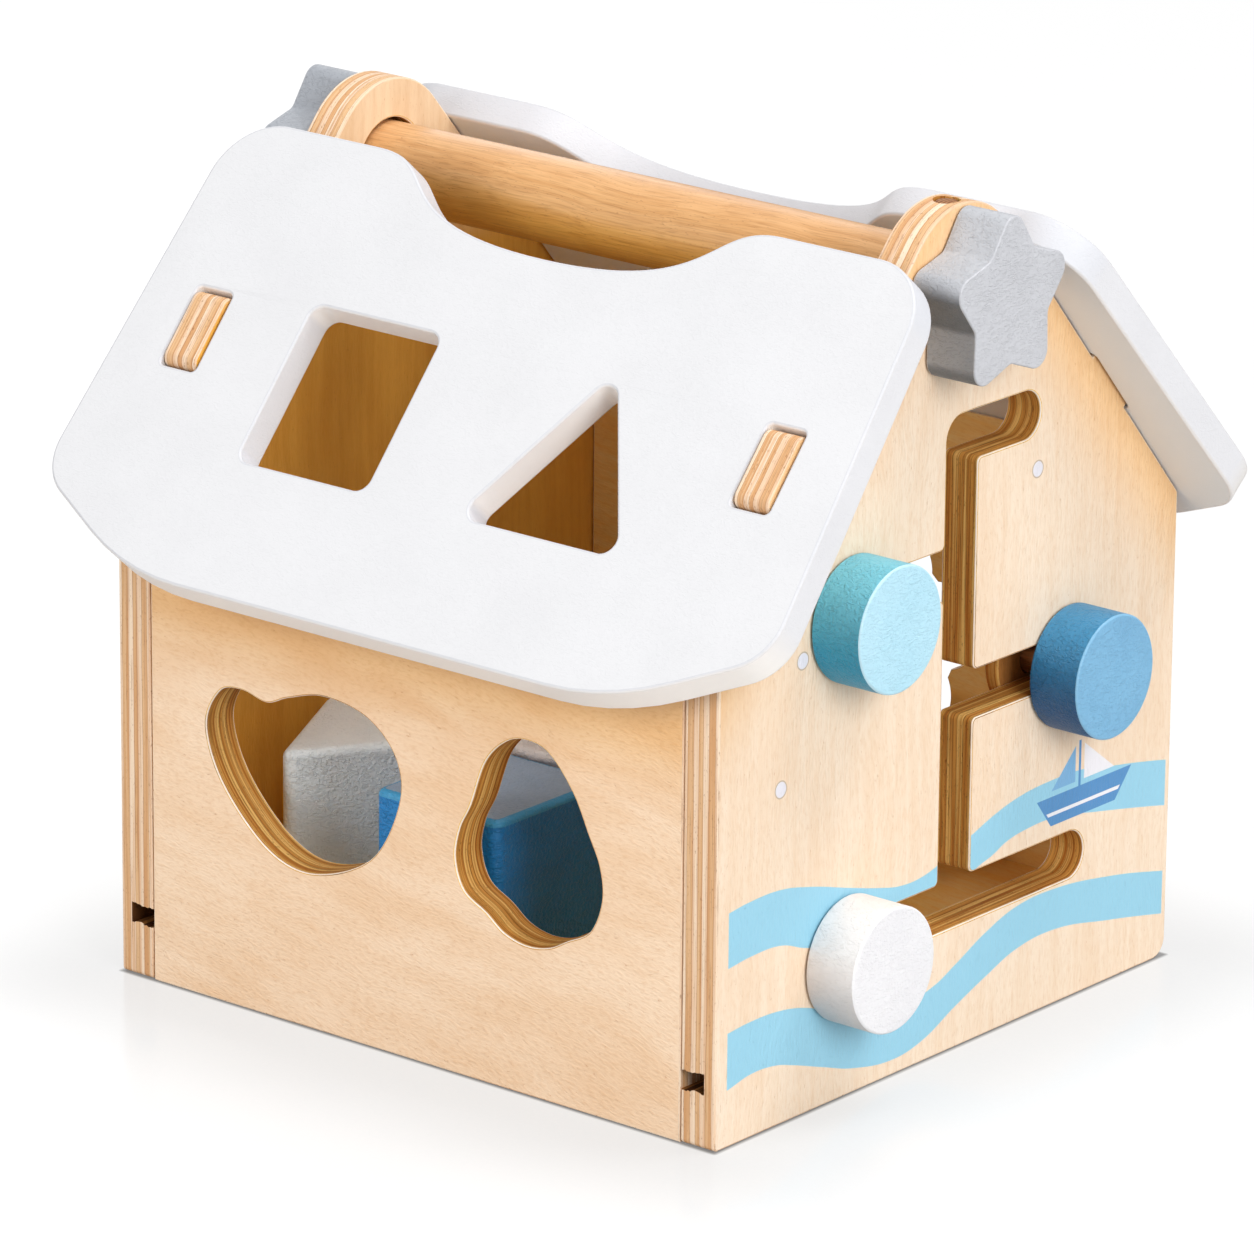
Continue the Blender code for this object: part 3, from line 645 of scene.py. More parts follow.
@dataclass(frozen=True)
class Grain:
    """Wood figure on a face, drawn from object coordinates, each mark as (across, along) in millimetres."""

    along: Axis
    light: str
    middle: str
    dark: str
    fibre: Point2 = (0.40, 2.4)
    streak: Point2 = (2.4, 40.0)
    figure: Point2 = (20.0, 50.0)
    marks: float = 0.30
    lean: float = 0.0
    sway: float = 1.6
    relief: float = 0.00012
    # Real pores are under 0.1 mm wide, too fine to show here, so they are drawn coarser
    pore: Point2 = (0.30, 1.3)
    bend: Point2 = (34.0, 46.0)

    def swayed(self, add: Add) -> Node:
        """Lean and bend the place as the grain is.

        Args:
            add: Adds a node to the material.

        Returns:
            The node with the place in millimetres.
        """
        across = Vector([1 - part for part in self.along.value])
        place = millimetres(add)
        length = add("VectorMath", place, self.along.value, operation="DOT_PRODUCT")
        leaning = add("VectorMath", length, across * self.lean, place, operation="MULTIPLY_ADD")
        slow = stretched(add, leaning, self.along, self.bend)
        bend = add("TexNoise", {"Vector": slow, "Scale": 1.0, "Detail": 2.0})
        centred = add("VectorMath", bend.outputs["Color"], (0.5, 0.5, 0.5), operation="SUBTRACT")
        return add("VectorMath", centred, across * (4 * self.sway), leaning, operation="MULTIPLY_ADD")

    def draw(self, add: Add) -> tuple[Node, Node]:
        """Draw the figure.

        Args:
            add: Adds a node to the material.

        Returns:
            The node with the wood's colour, and the node with its height.
        """
        place = self.swayed(add)
        fibres, streaks, figure, pores = (
            add("TexNoise", {
                "Vector": stretched(add, place, self.along, mark), "Scale": 1.0, "Detail": detail,
            })
            for mark, detail in ((self.fibre, 2.0), (self.streak, 2.0), (self.figure, 2.5), (self.pore, 1.0))
        )
        blend = add("Math", streaks, 0.55, operation="MULTIPLY")
        blend = add("Math", figure, 0.45, blend, operation="MULTIPLY_ADD")
        tone = add("MapRange", blend, 0.36, 0.64, **SMOOTH)
        colour = add("Mix", {0: tone, 6: self.light, 7: self.middle}, **COLOUR)
        marks = add("MapRange", fibres, 0.42, 0.78, 0, self.marks, **SMOOTH)
        colour = add("Mix", {0: marks, 6: colour, 7: self.dark}, **COLOUR)
        pits = add("MapRange", pores, 0.71, 0.78, 0, 0.4, **SMOOTH)
        colour = add("Mix", {0: pits, 6: colour, 7: self.dark}, **TINTED)
        return colour, add("Math", pits, -1.2, fibres, operation="MULTIPLY_ADD")


@dataclass(frozen=True)
class BirchVeneer(Finish):
    """Rotary-cut birch veneer, sanded and lightly sealed, and tinted by height with painted shade.

    It gives a pale face with fine fibres, soft cloudy figure and a low satin sheen.
    """

    grain: Grain
    ink: GablePrint | None = None
    # Painted shade: a tint that darkens the wood fully at one height and not at all at another
    painted_shade: str = ""
    painted_shade_full: float = 0.158
    painted_shade_none: float = 0.174
    painted_shade_slope: float = 0.0

    def with_painted_shade(self, add: Add, wood: Node) -> Node:
        """Tint the wood with painted shade, fully at one height and not at all at another.

        Args:
            add: Adds a node to the material.
            wood: The node with the wood's colour.

        Returns:
            The node with the colour. On a slope, the height is square to the roof, the same on both sides.
        """
        apart = add("SeparateXYZ", add("TexCoord").outputs["Object"])
        beside = add("Math", apart.outputs["Y"], operation="ABSOLUTE")
        beside = add("Math", beside, math.sin(self.painted_shade_slope), operation="MULTIPLY")
        height = add("Math", apart.outputs["Z"], math.cos(self.painted_shade_slope), beside, operation="MULTIPLY_ADD")
        share = add("MapRange", height, self.painted_shade_full, self.painted_shade_none, 1, 0, **SMOOTH)
        return add("Mix", {0: share, 6: wood, 7: self.painted_shade}, **TINTED)

    def draw(self, add: Add) -> tuple[Inputs, Inputs]:
        """Draw the wood, its printed inks and its painted shade.

        Args:
            add: Adds a node to the material.

        Returns:
            What the shader's inputs get, and what the bump's inputs get.
        """
        colour, height = self.grain.draw(add)
        rough = add("MapRange", height, 0.2, 0.8, 0.50, 0.60)
        if self.ink:
            colour, cover = self.ink.lay(add, colour)
            rough = add("Mix", {0: cover, 2: rough, 3: 0.42})
        # Painted shade: the tint stands for the shade under the roof and inside the house
        if self.painted_shade:
            colour = self.with_painted_shade(add, colour)
        surface = {"Base Color": colour, "Roughness": rough, "IOR": 1.45, "Specular IOR Level": 0.35}
        return surface, {"Height": height, "Distance": self.grain.relief, "Strength": 0.8}


@dataclass(frozen=True)
class EdgeShades:
    """Colours of a plywood edge, and how strongly its lamellae, lines and flecks show."""

    cream: str
    tan: str
    glue: str
    streak: str
    mark: str
    lamella: float
    line: float
    fleck: float


class Cut(Enum):
    """How a plywood edge was made, with its shades."""

    SANDED = EdgeShades("#f4dbbf", "#e3ba8d", "#b38054", "#dfb68b", "#9c683d", 0.55, 0.55, 0.55)
    # A routed hole's wall is darker, partly the router's burn and partly painted shade inside the hole
    ROUTED = EdgeShades("#ecc070", "#d69c4c", "#8c5c22", "#bf8e48", "#6e4716", 0.80, 0.80, 0.55)
    # A groove's faces are far darker: painted shade inside the groove
    GROOVE_PAINTED_SHADE = EdgeShades("#8a5a2a", "#6e431a", "#3c200a", "#7a4a1e", "#2c1606", 0.85, 0.75, 0.45)


@dataclass(frozen=True)
class PlywoodEdge(Finish):
    """The cut edge of birch plywood, seven plies in 10 mm.

    It gives cream plies along the grain, tan end-grain plies with dark flecks, and thin glue lines. A
    sanded edge is pale and a routed one is darker, browner and more streaked, partly the router's burn
    and partly painted shade inside the holes.
    """

    through: Axis
    inner: float
    ply: float = 0.010
    cut: Cut = Cut.SANDED
    limits: tuple[float, ...] = (0.0, 0.10, 0.27, 0.43, 0.55, 0.72, 0.90, 1.0)
    half_line: float = 0.010
    # Drift, lines, lamellae, flecks and breaks: along the plies and across them in millimetres, and detail
    marks: tuple[Point3, ...] = ((22, 7, 2), (30, 0.26, 2), (60, 0.7, 1.5), (1, 0.34, 1), (6, 1.5, 1))

    def stops(self) -> list[tuple[float, str]]:
        """Colours through the thickness: cream and tan plies in turn, with glue lines between."""
        shades = self.cut.value
        stops: list[tuple[float, str]] = []
        for index, (low, high) in enumerate(zip(self.limits, self.limits[1:])):
            shade = shades.tan if index % 2 else shades.cream
            stops += [(low + self.half_line, shade), (high - self.half_line, shade), (high, shades.glue)]
        return stops[:-1]

    def draw(self, add: Add) -> tuple[Inputs, Inputs]:
        """Draw the plies and the saw's or router's marks.

        Args:
            add: Adds a node to the material.

        Returns:
            What the shader's inputs get, and what the bump's inputs get.
        """
        shades = self.cut.value
        place = millimetres(add)
        apart = add("SeparateXYZ", add("TexCoord").outputs["Object"])
        depth = add("Math", apart.outputs[self.through.name], operation="ABSOLUTE")
        share = add("MapRange", depth, self.inner, self.inner + self.ply)
        drift, lines, lamellae, flecks, breaks = (
            add("TexNoise", {
                "Vector": stretched(add, place, self.through, mark), "Scale": 1.0, "Detail": detail,
            })
            for *mark, detail in self.marks
        )
        drift = add("Math", drift, 0.5, operation="SUBTRACT")
        share = add("Math", drift, 0.05, share, operation="MULTIPLY_ADD")
        plies = add("ValToRGB", share, stops=self.stops())
        tint = add("MapRange", lamellae, 0.40, 0.62, 0, shades.lamella)
        colour = add("Mix", {0: tint, 6: plies, 7: shades.streak}, **TINTED)
        broken = add("MapRange", breaks, 0.36, 0.58, 0.25, 1)
        for noise, low, high, most in ((lines, 0.54, 0.68, shades.line), (flecks, 0.60, 0.74, shades.fleck)):
            mark = add("MapRange", noise, low, high, 0, most, **SMOOTH)
            mark = add("Math", mark, broken, operation="MULTIPLY")
            colour = add("Mix", {0: mark, 6: colour, 7: shades.mark}, **COLOUR)
        height = add("Math", mark, -1.0, lines, operation="MULTIPLY_ADD")
        surface = {"Base Color": colour, "Roughness": 0.62, "IOR": 1.45, "Specular IOR Level": 0.3}
        return surface, {"Height": height, "Distance": 0.00009, "Strength": 0.9}


@dataclass(frozen=True)
class SatinPaint(Finish):
    """Water-based satin paint, sprayed over sanded wood.

    It gives an even opaque colour with a soft sheen and a fine uneven skin, where some of the wood's
    fibres show. Faces that look down may take a second colour, which is painted light and shade.
    """

    colour: str
    deep: str
    relief: float = 0.00040
    skin: float = 0.9
    # Painted light and shade: a colour for faces that look down, lighter or darker than the paint
    under: str = ""
    full_light: float = 0.55
    roughness: float = 0.42
    slow: float = 22.0

    def draw(self, add: Add) -> tuple[Inputs, Inputs]:
        """Draw the paint and its skin.

        Args:
            add: Adds a node to the material.

        Returns:
            What the shader's inputs get, and what the bump's inputs get.
        """
        place = millimetres(add)
        skin = add("TexNoise", {"Vector": place, "Scale": 1 / self.skin, "Detail": 2.0})
        slow = add("TexNoise", {"Vector": place, "Scale": 1 / self.slow, "Detail": 2.0})
        flow = add("VectorMath", place, (0.50, 0.50, 1.25), operation="MULTIPLY")
        strokes = add("TexNoise", {"Vector": flow, "Scale": 1.0, "Detail": 1.0, "Distortion": 1.6})
        ridges = add("MapRange", strokes, 0.52, 0.64, **SMOOTH)
        height = add("Math", ridges, 0.45, skin, operation="MULTIPLY_ADD")
        tone = add("Math", strokes, 0.6, slow, operation="MULTIPLY_ADD")
        share = add("MapRange", tone, 0.60, 1.05)
        colour = add("Mix", {0: share, 6: self.colour, 7: self.deep}, **COLOUR)
        # Painted light and shade on the faces that look down
        if self.under:
            thin = looking_down(add, -0.55, self.full_light, 1)
            colour = add("Mix", {0: thin, 6: colour, 7: self.under}, **COLOUR)
        rough = add("MapRange", skin, 0.2, 0.8, self.roughness - 0.05, self.roughness + 0.07)
        surface = {"Base Color": colour, "Roughness": rough, "IOR": 1.47}
        return surface, {"Height": height, "Distance": self.relief, "Strength": 0.9}


@dataclass(frozen=True)
class VarnishedBeech(Finish):
    """Turned beech under clear varnish.

    It gives a warm orange-brown rod with long grain, short dark flecks and a soft gloss, tinted
    warmer where it looks down as painted warm shade.
    """

    grain: Grain = Grain(
        Axis.X, "#e3b17c", "#d49e67", "#96602a", fibre=(0.34, 11.0), streak=(0.9, 80.0), figure=(6.0, 50.0),
        marks=0.38,
    )
    dash: Point2 = (0.50, 3.0)
    fleck: str = "#85501f"
    # Painted warm shade: a tint for the faces that look down
    under: str = "#ffed32"

    def draw(self, add: Add) -> tuple[Inputs, Inputs]:
        """Draw the wood, its flecks and its varnish.

        Args:
            add: Adds a node to the material.

        Returns:
            What the shader's inputs get, and what the bump's inputs get.
        """
        colour, height = self.grain.draw(add)
        place = stretched(add, millimetres(add), self.grain.along, self.dash)
        dashes = add("TexVoronoi", {"Vector": place, "Scale": 1.0})
        marks = add("MapRange", dashes, 0.05, 0.15, 0.60, 0, **SMOOTH)
        colour = add("Mix", {0: marks, 6: colour, 7: self.fleck}, **COLOUR)
        # Painted warm shade on the rod's underside
        low = looking_down(add, -0.5, 0.95, 0.62)
        colour = add("Mix", {0: low, 6: colour, 7: self.under}, **TINTED)
        surface = {"Base Color": colour, "Roughness": 0.38, "IOR": 1.5}
        varnish = {"Coat Weight": 0.25, "Coat Roughness": 0.22}
        return surface | varnish, {"Height": height, "Distance": 0.00008, "Strength": 0.8}


@dataclass(frozen=True)
class DowelWood(Finish):
    """Raw beech dowel, cut across.

    Its end gives fine rings and pores, darker than its side, which has straight grain.
    """

    along: Axis
    middle: Point3 = (0.0, 0.0, 0.0)
    light: str = "#c08a58"
    dark: str = "#7c4a26"

    def draw(self, add: Add) -> tuple[Inputs, Inputs]:
        """Draw the rings and the pores.

        Args:
            add: Adds a node to the material.

        Returns:
            What the shader's inputs get, and what the bump's inputs get.
        """
        centred = add("VectorMath", add("TexCoord").outputs["Object"], self.middle, operation="SUBTRACT")
        place = stretched(add, centred, self.along, (0.001, 0.030))
        rings = add("TexWave", {
            "Vector": place, "Scale": 0.32, "Distortion": 2.2, "Detail": 2.0, "Detail Scale": 1.2,
        })
        pores = add("TexNoise", {"Vector": place, "Scale": 4.0, "Detail": 1.0})
        mixed = add("Math", pores, 0.9, rings.outputs["Fac"], operation="MULTIPLY_ADD")
        colour = add("ValToRGB", mixed, stops=((0.45, self.light), (0.9, self.dark)))
        surface = {"Base Color": colour, "Roughness": 0.6, "IOR": 1.45}
        return surface, {"Height": pores, "Distance": 0.00008, "Strength": 0.8}


@dataclass(frozen=True)
class PaleSweep:
    """Matt white studio paper under the house.

    The camera sees it close to white, and it keeps the soft shadow and a faint sheen. Its glow is
    dimmer beside the house, painted shade, and dimmer still at the walls' foot, a painted contact shadow.
    """

    name: str = "white_studio_paper"
    half_length: float = 0.092
    half_depth: float = 0.087
    # Painted shade: the glow is lower near the footprint (lift) than further out (far_lift)
    lift: float = 0.73
    far_lift: float = 0.88
    near: float = 0.004
    far: float = 0.056
    # Painted contact shadow: within this distance of the footprint the glow falls towards the level below
    painted_contact_shadow: float = 0.0012
    painted_contact_shadow_level: float = 0.16
    shade: float = 0.16
    tooth: float = 0.004
    bounce: float = 0.45
    sheen: float = 0.07

    def build(self) -> Material:
        """Build the material."""
        made = bpy.data.materials.new(self.name)
        made.use_nodes = True
        tree = made.node_tree
        tree.nodes.clear()
        add = partial(add_node, tree)
        place = add("TexCoord").outputs["Object"]
        tooth = add("TexNoise", {"Vector": place, "Scale": 900.0, "Detail": 1.0})
        tone = add("MapRange", tooth, 0.3, 0.7, self.shade - self.tooth, self.shade + self.tooth)
        seen = add("BsdfDiffuse", add("CombineColor", tone, tone, tone))
        folded = add("VectorMath", place, operation="ABSOLUTE")
        beyond = add("VectorMath", folded, (self.half_length, self.half_depth, 0), operation="SUBTRACT")
        clear = add("VectorMath", beyond, (0, 0, 0), operation="MAXIMUM")
        away = add("VectorMath", clear, operation="LENGTH")
        # Painted shade beside the walls: the glow rises with distance from the footprint
        level = add("MapRange", away, self.near, self.far, self.lift, self.far_lift, **SMOOTH)
        # Painted contact shadow at the walls' foot
        painted_contact_shadow = add("MapRange", away, 0, self.painted_contact_shadow, self.painted_contact_shadow_level, 1)
        level = add("Math", level, painted_contact_shadow, operation="MULTIPLY")
        lit = add("AddShader", seen, add("Emission", {"Strength": level}))
        lit = add("MixShader", self.sheen, lit, add("BsdfGlossy", {"Roughness": 0.16}))
        paper = add("BsdfDiffuse", (self.bounce, self.bounce, self.bounce, 1))
        rays = add("LightPath").outputs["Is Camera Ray"]
        add("OutputMaterial", add("MixShader", rays, paper, lit))
        return made


# The house's finishes

PALE_GRAIN = Grain(Axis.Z, "#f9e4cc", "#f4dabe", "#dfb588", fibre=(0.60, 2.8), relief=0.00030)
WARM_GRAIN = Grain(
    Axis.X, "#faddbe", "#f1cca6", "#dba977", fibre=(0.60, 2.0), streak=(10.0, 46.0), figure=(24.0, 60.0),
    lean=0.12, sway=2.4, relief=0.00026,
)
# Near-white veneer for the eased rims of the holes: a painted highlight along the arris
RIM_PAINTED_HIGHLIGHT = ("#fff4e6", "#fdebd6", "#ecd2b0")
INNER_UPRIGHT = Grain(Axis.Z, "#f2d3ae", "#e8c39a", "#cd9e6a", figure=(16.0, 30.0), marks=0.16)
# The discs' veneer, drawn darker and browner than the walls'
DISC_GRAIN = Grain(Axis.Z, "#c98a4a", "#b97838", "#8a5220")
# Inside faces of the walls and the floor: the same birch drawn a deeper orange than outside, painted warm
# shade of the house's inside
INNER_LEVEL_WARM_SHADE = Grain(Axis.X, "#ffdb92", "#ffce7a", "#eaa95c", lean=0.10)

UPPER_WAVE = WaveBand(
    top=(
        (-90, 56), (-82.7, 57), (-75.1, 57.7), (-64.2, 57.6), (-53.1, 55.4), (-38.1, 51.1), (-26.8, 48),
        (-19.2, 46.4), (-11.6, 46.3), (-2.8, 48.2), (9, 52), (17.4, 54.6), (26.9, 56.5), (38, 57.2),
        (52.5, 56.7), (61.8, 54.9), (72.2, 53.1), (85.8, 50.4), (92, 49),
    ),
    bottom=(
        (-90, 43), (-82.5, 43.6), (-74.8, 44.3), (-63.9, 44), (-54.6, 40.9), (-38, 37), (-11.6, 34.5),
        (0, 38), (9.9, 42.8), (16.8, 44.6), (21.7, 46.4), (29.6, 47.5), (42, 47.4), (56, 44.8), (74.8, 41.1),
        (86.4, 38.6), (92, 37.2),
    ),
)
LOWER_WAVE = WaveBand(
    top=(
        (-90, 27.2), (-82.1, 27.9), (-74.5, 28.4), (-63.6, 28), (-53.2, 25.8), (-44, 22), (-33, 18.2),
        (-20, 16), (-6, 17.6), (2.7, 20.8), (14.5, 25.7), (26.3, 28.9), (39.6, 29.4), (63.7, 26.5),
        (87.2, 21.6), (92, 20.5),
    ),
    bottom=(
        (-90, 12.8), (-81.9, 14.1), (-73.9, 15.5), (-65.1, 15), (-58.8, 13.3), (-47, 9.4), (-35.8, 5.9),
        (-20.3, 3.7), (-10.5, 5), (3.1, 10.3), (14.8, 14.5), (26.7, 18.1), (40.1, 19), (63.5, 15.3),
        (87.7, 10.5), (92, 9.6),
    ),
)
BOAT = (
    PrintedPatch("#5a93c8", ((33.5, 53), (39.2, 45.6), (64.8, 45.6), (71.2, 53))),
    PrintedPatch("#5a93c8", ((49.9, 52.4), (50.8, 52.4), (50.8, 64.5), (49.9, 64.5))),
    PrintedPatch("#f1eef2", ((52.1, 54.4), (64.2, 54.4), (52.1, 63.4))),
    PrintedPatch("#7fb4dd", ((39.2, 54.4), (48.6, 54.4), (48.6, 63.4))),
    PrintedPatch("#f1eef2", ((37.4, 49), (38.1, 48.1), (66, 48.1), (66.8, 49))),
)
GABLE_PRINT = GablePrint((UPPER_WAVE, LOWER_WAVE), ((30.7, 136.4), (-64.4, 81.9), (-57, 110.9)), BOAT)


def by_direction(direction: Sequence[float], flat: float, side: float, both: bool = False) -> Pick:
    """Sort faces by how they look along a direction.

    Args:
        direction: The direction.
        flat: A flat face's normal has more than this share of it.
        side: A side's normal has less than this share of it.
        both: Whether the opposite direction counts as well.

    Returns:
        A function that gives 0 for a flat face, 1 for a side and 2 for the arris between them.
    """
    def pick(face: Face) -> int:
        """Sort one face."""
        share = face.normal.dot(direction)
        share = abs(share) if both else share
        return 0 if share > flat else 1 if share < side else 2

    return pick


class Workshop:
    """Keeps one material for each finish, and finishes pieces."""

    def __init__(self) -> None:
        """Start with no materials."""
        self.made: dict[str, Material] = {}

    def get(self, finish: Finish) -> Material:
        """Return a finish's material, building it the first time.

        Args:
            finish: The finish.

        Returns:
            The material.
        """
        if finish.name not in self.made:
            self.made[finish.name] = finish.build()
        return self.made[finish.name]

    def dress(self, piece: Piece, finishes: Sequence[Finish], pick: Pick = lambda face: 0) -> None:
        """Shade a piece smooth round its eased edges and flat on its faces, and give it its finishes.

        Args:
            piece: The piece.
            finishes: The finishes.
            pick: Tells which of them a face gets.
        """
        piece.data.shade_smooth()
        piece.data.set_sharp_from_angle(angle=SHARP_ANGLE)
        modify(piece, "WEIGHTED_NORMAL", mode="FACE_AREA_WITH_ANGLE", weight=100, keep_sharp=True)
        settle(piece)
        piece.data.materials.clear()
        for finish in finishes:
            piece.data.materials.append(self.get(finish))
        for face in piece.data.polygons:
            face.material_index = pick(face)

    def coat_frame_node(self, name: str, finish: Finish) -> None:
        """Give a node of the frame, which keeps its shape, a finish.

        Args:
            name: The node's name.
            finish: The finish.
        """
        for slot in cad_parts[name].material_slots:
            slot.material = self.get(finish)
        LOG.info("%s keeps its shape, finish %s", name, finish.name)


SHOP = Workshop()


def stand_in(piece: Piece, body: str, slot: str, *nodes: str) -> None:
    """Put a finished piece in place of frame nodes.

    Args:
        piece: The piece.
        body: The body that it moves with.
        slot: The record's material slot; not used.
        *nodes: The nodes that it replaces.
    """
    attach(piece, body)
    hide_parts(*nodes)
    LOG.info("%s: %d faces, on %s", piece.name, len(piece.data.polygons), body)


@dataclass(frozen=True)
class HouseSizes:
    """Sizes that several sub-assemblies share, in metres."""

    half_length: float = 0.092
    half_depth: float = 0.087
    ply: float = 0.010
    eave: float = 0.118
    slope: float = math.radians(49.0)
    roof_thickness: float = 0.0085
    ear_radius: float = 0.0212
    rod_radius: float = 0.0105
    pin_radius: float = 0.003
    tab_half: float = 0.010
    tab_middle: float = 0.0444
    dowel_radius: float = 0.003
    dowel_in_gable: float = 0.007
    dowel_in_wall: float = 0.015
    dowel_low: float = 0.033
    dowel_high: float = 0.100

    @property
    def inner_x(self) -> float:
        """Where the gables' inner faces are."""
        return self.half_length - self.ply

    @property
    def gable_x(self) -> float:
        """Where the gables' middles are."""
        return self.half_length - self.ply / 2

    @property
    def wall_y(self) -> float:
        """Where the walls' middles are."""
        return self.half_depth - self.ply / 2

    @property
    def apex(self) -> float:
        """Height at which the roof lines meet."""
        return self.eave + self.half_depth * math.tan(self.slope)

    @property
    def rod_height(self) -> float:
        """Height of the rod's axis."""
        return self.apex - self.ear_radius / math.cos(self.slope)

    def up_slope(self, distance: float, outward: float = 0.0) -> Point2:
        """Place on the back slope.

        Args:
            distance: How far up from the eave.
            outward: How far out from the roof line.

        Returns:
            Its (y, z).
        """
        sine, cosine = math.sin(self.slope), math.cos(self.slope)
        out = self.half_depth - distance * cosine + outward * sine
        return (out, self.eave + distance * sine + outward * cosine)

    def sockets(self, start: float, end: float, y: float) -> list[Piece]:
        """Make cutters for two dowels, one above the other, from one x to another."""
        radius = self.dowel_radius + FIT_GAP
        return [drill(radius, (start, y, z), (end, y, z)) for z in (self.dowel_low, self.dowel_high)]


@dataclass
class Gable:
    """An end wall with an ear for the rod, two roof tabs, a floor groove and perhaps the maze slot."""

    side: Side
    sizes: HouseSizes = HouseSizes()
    base_front_corner: float = 0.0012
    base_back_corner: float = 0.0048
    eave_corner: float = 0.0015
    tab_proud: float = 0.0006
    tab_corner: float = 0.0028
    rod_clearance: float = 0.0010
    bore_step: float = math.radians(4.0)
    ease: float = 0.0004
    slot_half: float = 0.006
    slot_inner_round: float = 0.0016
    slot_middle: float = 0.0014
    branch_low: float = 0.0364
    branch_mid: float = 0.0867
    branch_upper: float = 0.1188
    branch_top: float = 0.1505
    low_left: float = -0.0457
    low_right: float = 0.0526
    mid_right: float = 0.0497
    upper_left: float = -0.0456
    top_right: float = 0.0314
    groove_depth: float = 0.0068
    groove_low: float = 0.0138
    groove_high: float = 0.0179
    groove_chip: float = 0.001
    # How far the painted shade along the roof line reaches above it and below it
    painted_shade_above: float = 0.002
    painted_shade_below: float = 0.026

    def outline(self) -> Outline:
        """Draw the gable's edge."""
        sizes = self.sizes
        reach = FIT_GAP + sizes.roof_thickness + self.tab_proud
        low, high = sizes.tab_middle - sizes.tab_half, sizes.tab_middle + sizes.tab_half
        right = [
            (sizes.half_depth, 0, self.base_back_corner),
            (sizes.half_depth, sizes.eave, self.eave_corner),
            (*sizes.up_slope(low), 0),
            (*sizes.up_slope(low, reach), self.tab_corner),
            (*sizes.up_slope(high, reach), self.tab_corner),
            (*sizes.up_slope(high), 0),
        ]
        left = [(-y, z, radius) for y, z, radius in reversed(right[1:])]
        left.append((-sizes.half_depth, 0, self.base_front_corner))
        return rounded([*right, (0, sizes.apex, sizes.ear_radius), *left])

    def maze(self) -> Outline:
        """Draw the slot that the three pegs run in."""
        half, inner = self.slot_half, self.slot_inner_round
        left, right = self.slot_middle - half, self.slot_middle + half
        low, mid, upper, top = self.branch_low, self.branch_mid, self.branch_upper, self.branch_top
        return rounded([
            (self.low_left, low - half, half), (self.low_right, low - half, half),
            (self.low_right, low + half, half), (right, low + half, inner),
            (right, mid - half, inner), (self.mid_right, mid - half, half),
            (self.mid_right, mid + half, half), (right, mid + half, inner),
            (right, top - half, inner), (self.top_right, top - half, half),
            (self.top_right, top + half, half), (left, top + half, half),
            (left, upper + half, inner), (self.upper_left, upper + half, half),
            (self.upper_left, upper - half, half), (left, upper - half, inner),
            (left, low + half, inner), (self.low_left, low + half, half),
        ])

    def groove(self) -> Piece:
        """Make the cutter for the floor groove, its edges chipped where the router broke out."""
        near = -CUT_PAST / self.groove_depth
        over = (
            (near, 0.05), (0, 0.05), (0.16, 0.3), (0.24, 0), (0.36, 0.12), (0.5, 0), (0.6, 0.32),
            (0.72, 0.28), (0.8, 0.5), (0.92, 0.42), (1, 0.55),
        )
        under = (
            (1, 0.5), (0.9, 0.58), (0.84, 0.3), (0.7, 0.1), (0.56, 0), (0.46, 0.22), (0.4, 0.6),
            (0.3, 0.42), (0.22, 0.8), (0.14, 0.62), (0.06, 0.7), (0, 0.55), (near, 0.55),
        )
        profile = [(share, self.groove_high + chip / 1000) for share, chip in over]
        profile += [(share, self.groove_low - chip / 1000) for share, chip in under]
        profile = [(self.sizes.inner_x + share * self.groove_depth, z) for share, z in profile]
        sign = self.side.sign
        reach = self.sizes.half_depth + CUT_PAST
        return prism("floor_groove", profile, -reach, reach, lambda x, y, z: (sign * x, z, y))

    def cutters(self) -> list[Piece]:
        """Make the cutters for the groove, the dowels' sockets and the pin's hole."""
        sizes, sign = self.sizes, self.side.sign
        made = [self.groove()]
        start = sign * (sizes.inner_x - CUT_PAST)
        end = sign * (sizes.inner_x + sizes.dowel_in_gable + FIT_GAP)
        for wall in (-1, 1):
            made += sizes.sockets(start, end, wall * sizes.wall_y)
        if self.side is Side.RIGHT:
            top = sizes.rod_height + sizes.ear_radius + CUT_PAST
            ends = (sizes.gable_x, 0, sizes.rod_height), (sizes.gable_x, 0, top)
            made.append(drill(sizes.pin_radius + FIT_GAP, *ends))
        return made

    def finishes(self) -> list[Finish]:
        """List the finishes for each part of the plate."""
        sizes, printed = self.sizes, self.side is Side.RIGHT
        roof_line = sizes.eave * math.cos(sizes.slope) + sizes.half_depth * math.sin(sizes.slope)
        # The outer face darkens towards the roof line: painted shade where the roof overhang shades the gable
        outer = BirchVeneer(
            "birch_veneer_printed" if printed else "birch_veneer_plain", PALE_GRAIN,
            GABLE_PRINT if printed else None, "#fbe2bb",
            roof_line + self.painted_shade_above, roof_line - self.painted_shade_below, sizes.slope,
        )
        # The inner face turns honey below the ear: painted warm shade inside the house
        inner = BirchVeneer("birch_veneer_inside_upright", INNER_UPRIGHT, painted_shade="#ffdc78")
        # The routed walls are darker partly as painted shade inside the holes, and the groove's faces as
        # painted shade inside the groove
        edge, routed, groove_painted_shade = (
            PlywoodEdge(f"gable_plywood_{name}", Axis.X, sizes.inner_x, cut=cut)
            for name, cut in (("edge", Cut.SANDED), ("routed", Cut.ROUTED), ("groove", Cut.GROOVE_PAINTED_SHADE))
        )
        # The holes' rims: a painted highlight
        rim = BirchVeneer("birch_veneer_gable_rim_painted_highlight", Grain(Axis.Z, *RIM_PAINTED_HIGHLIGHT))
        return [*(outer, inner)[::self.side.sign], edge, routed, rim, groove_painted_shade]

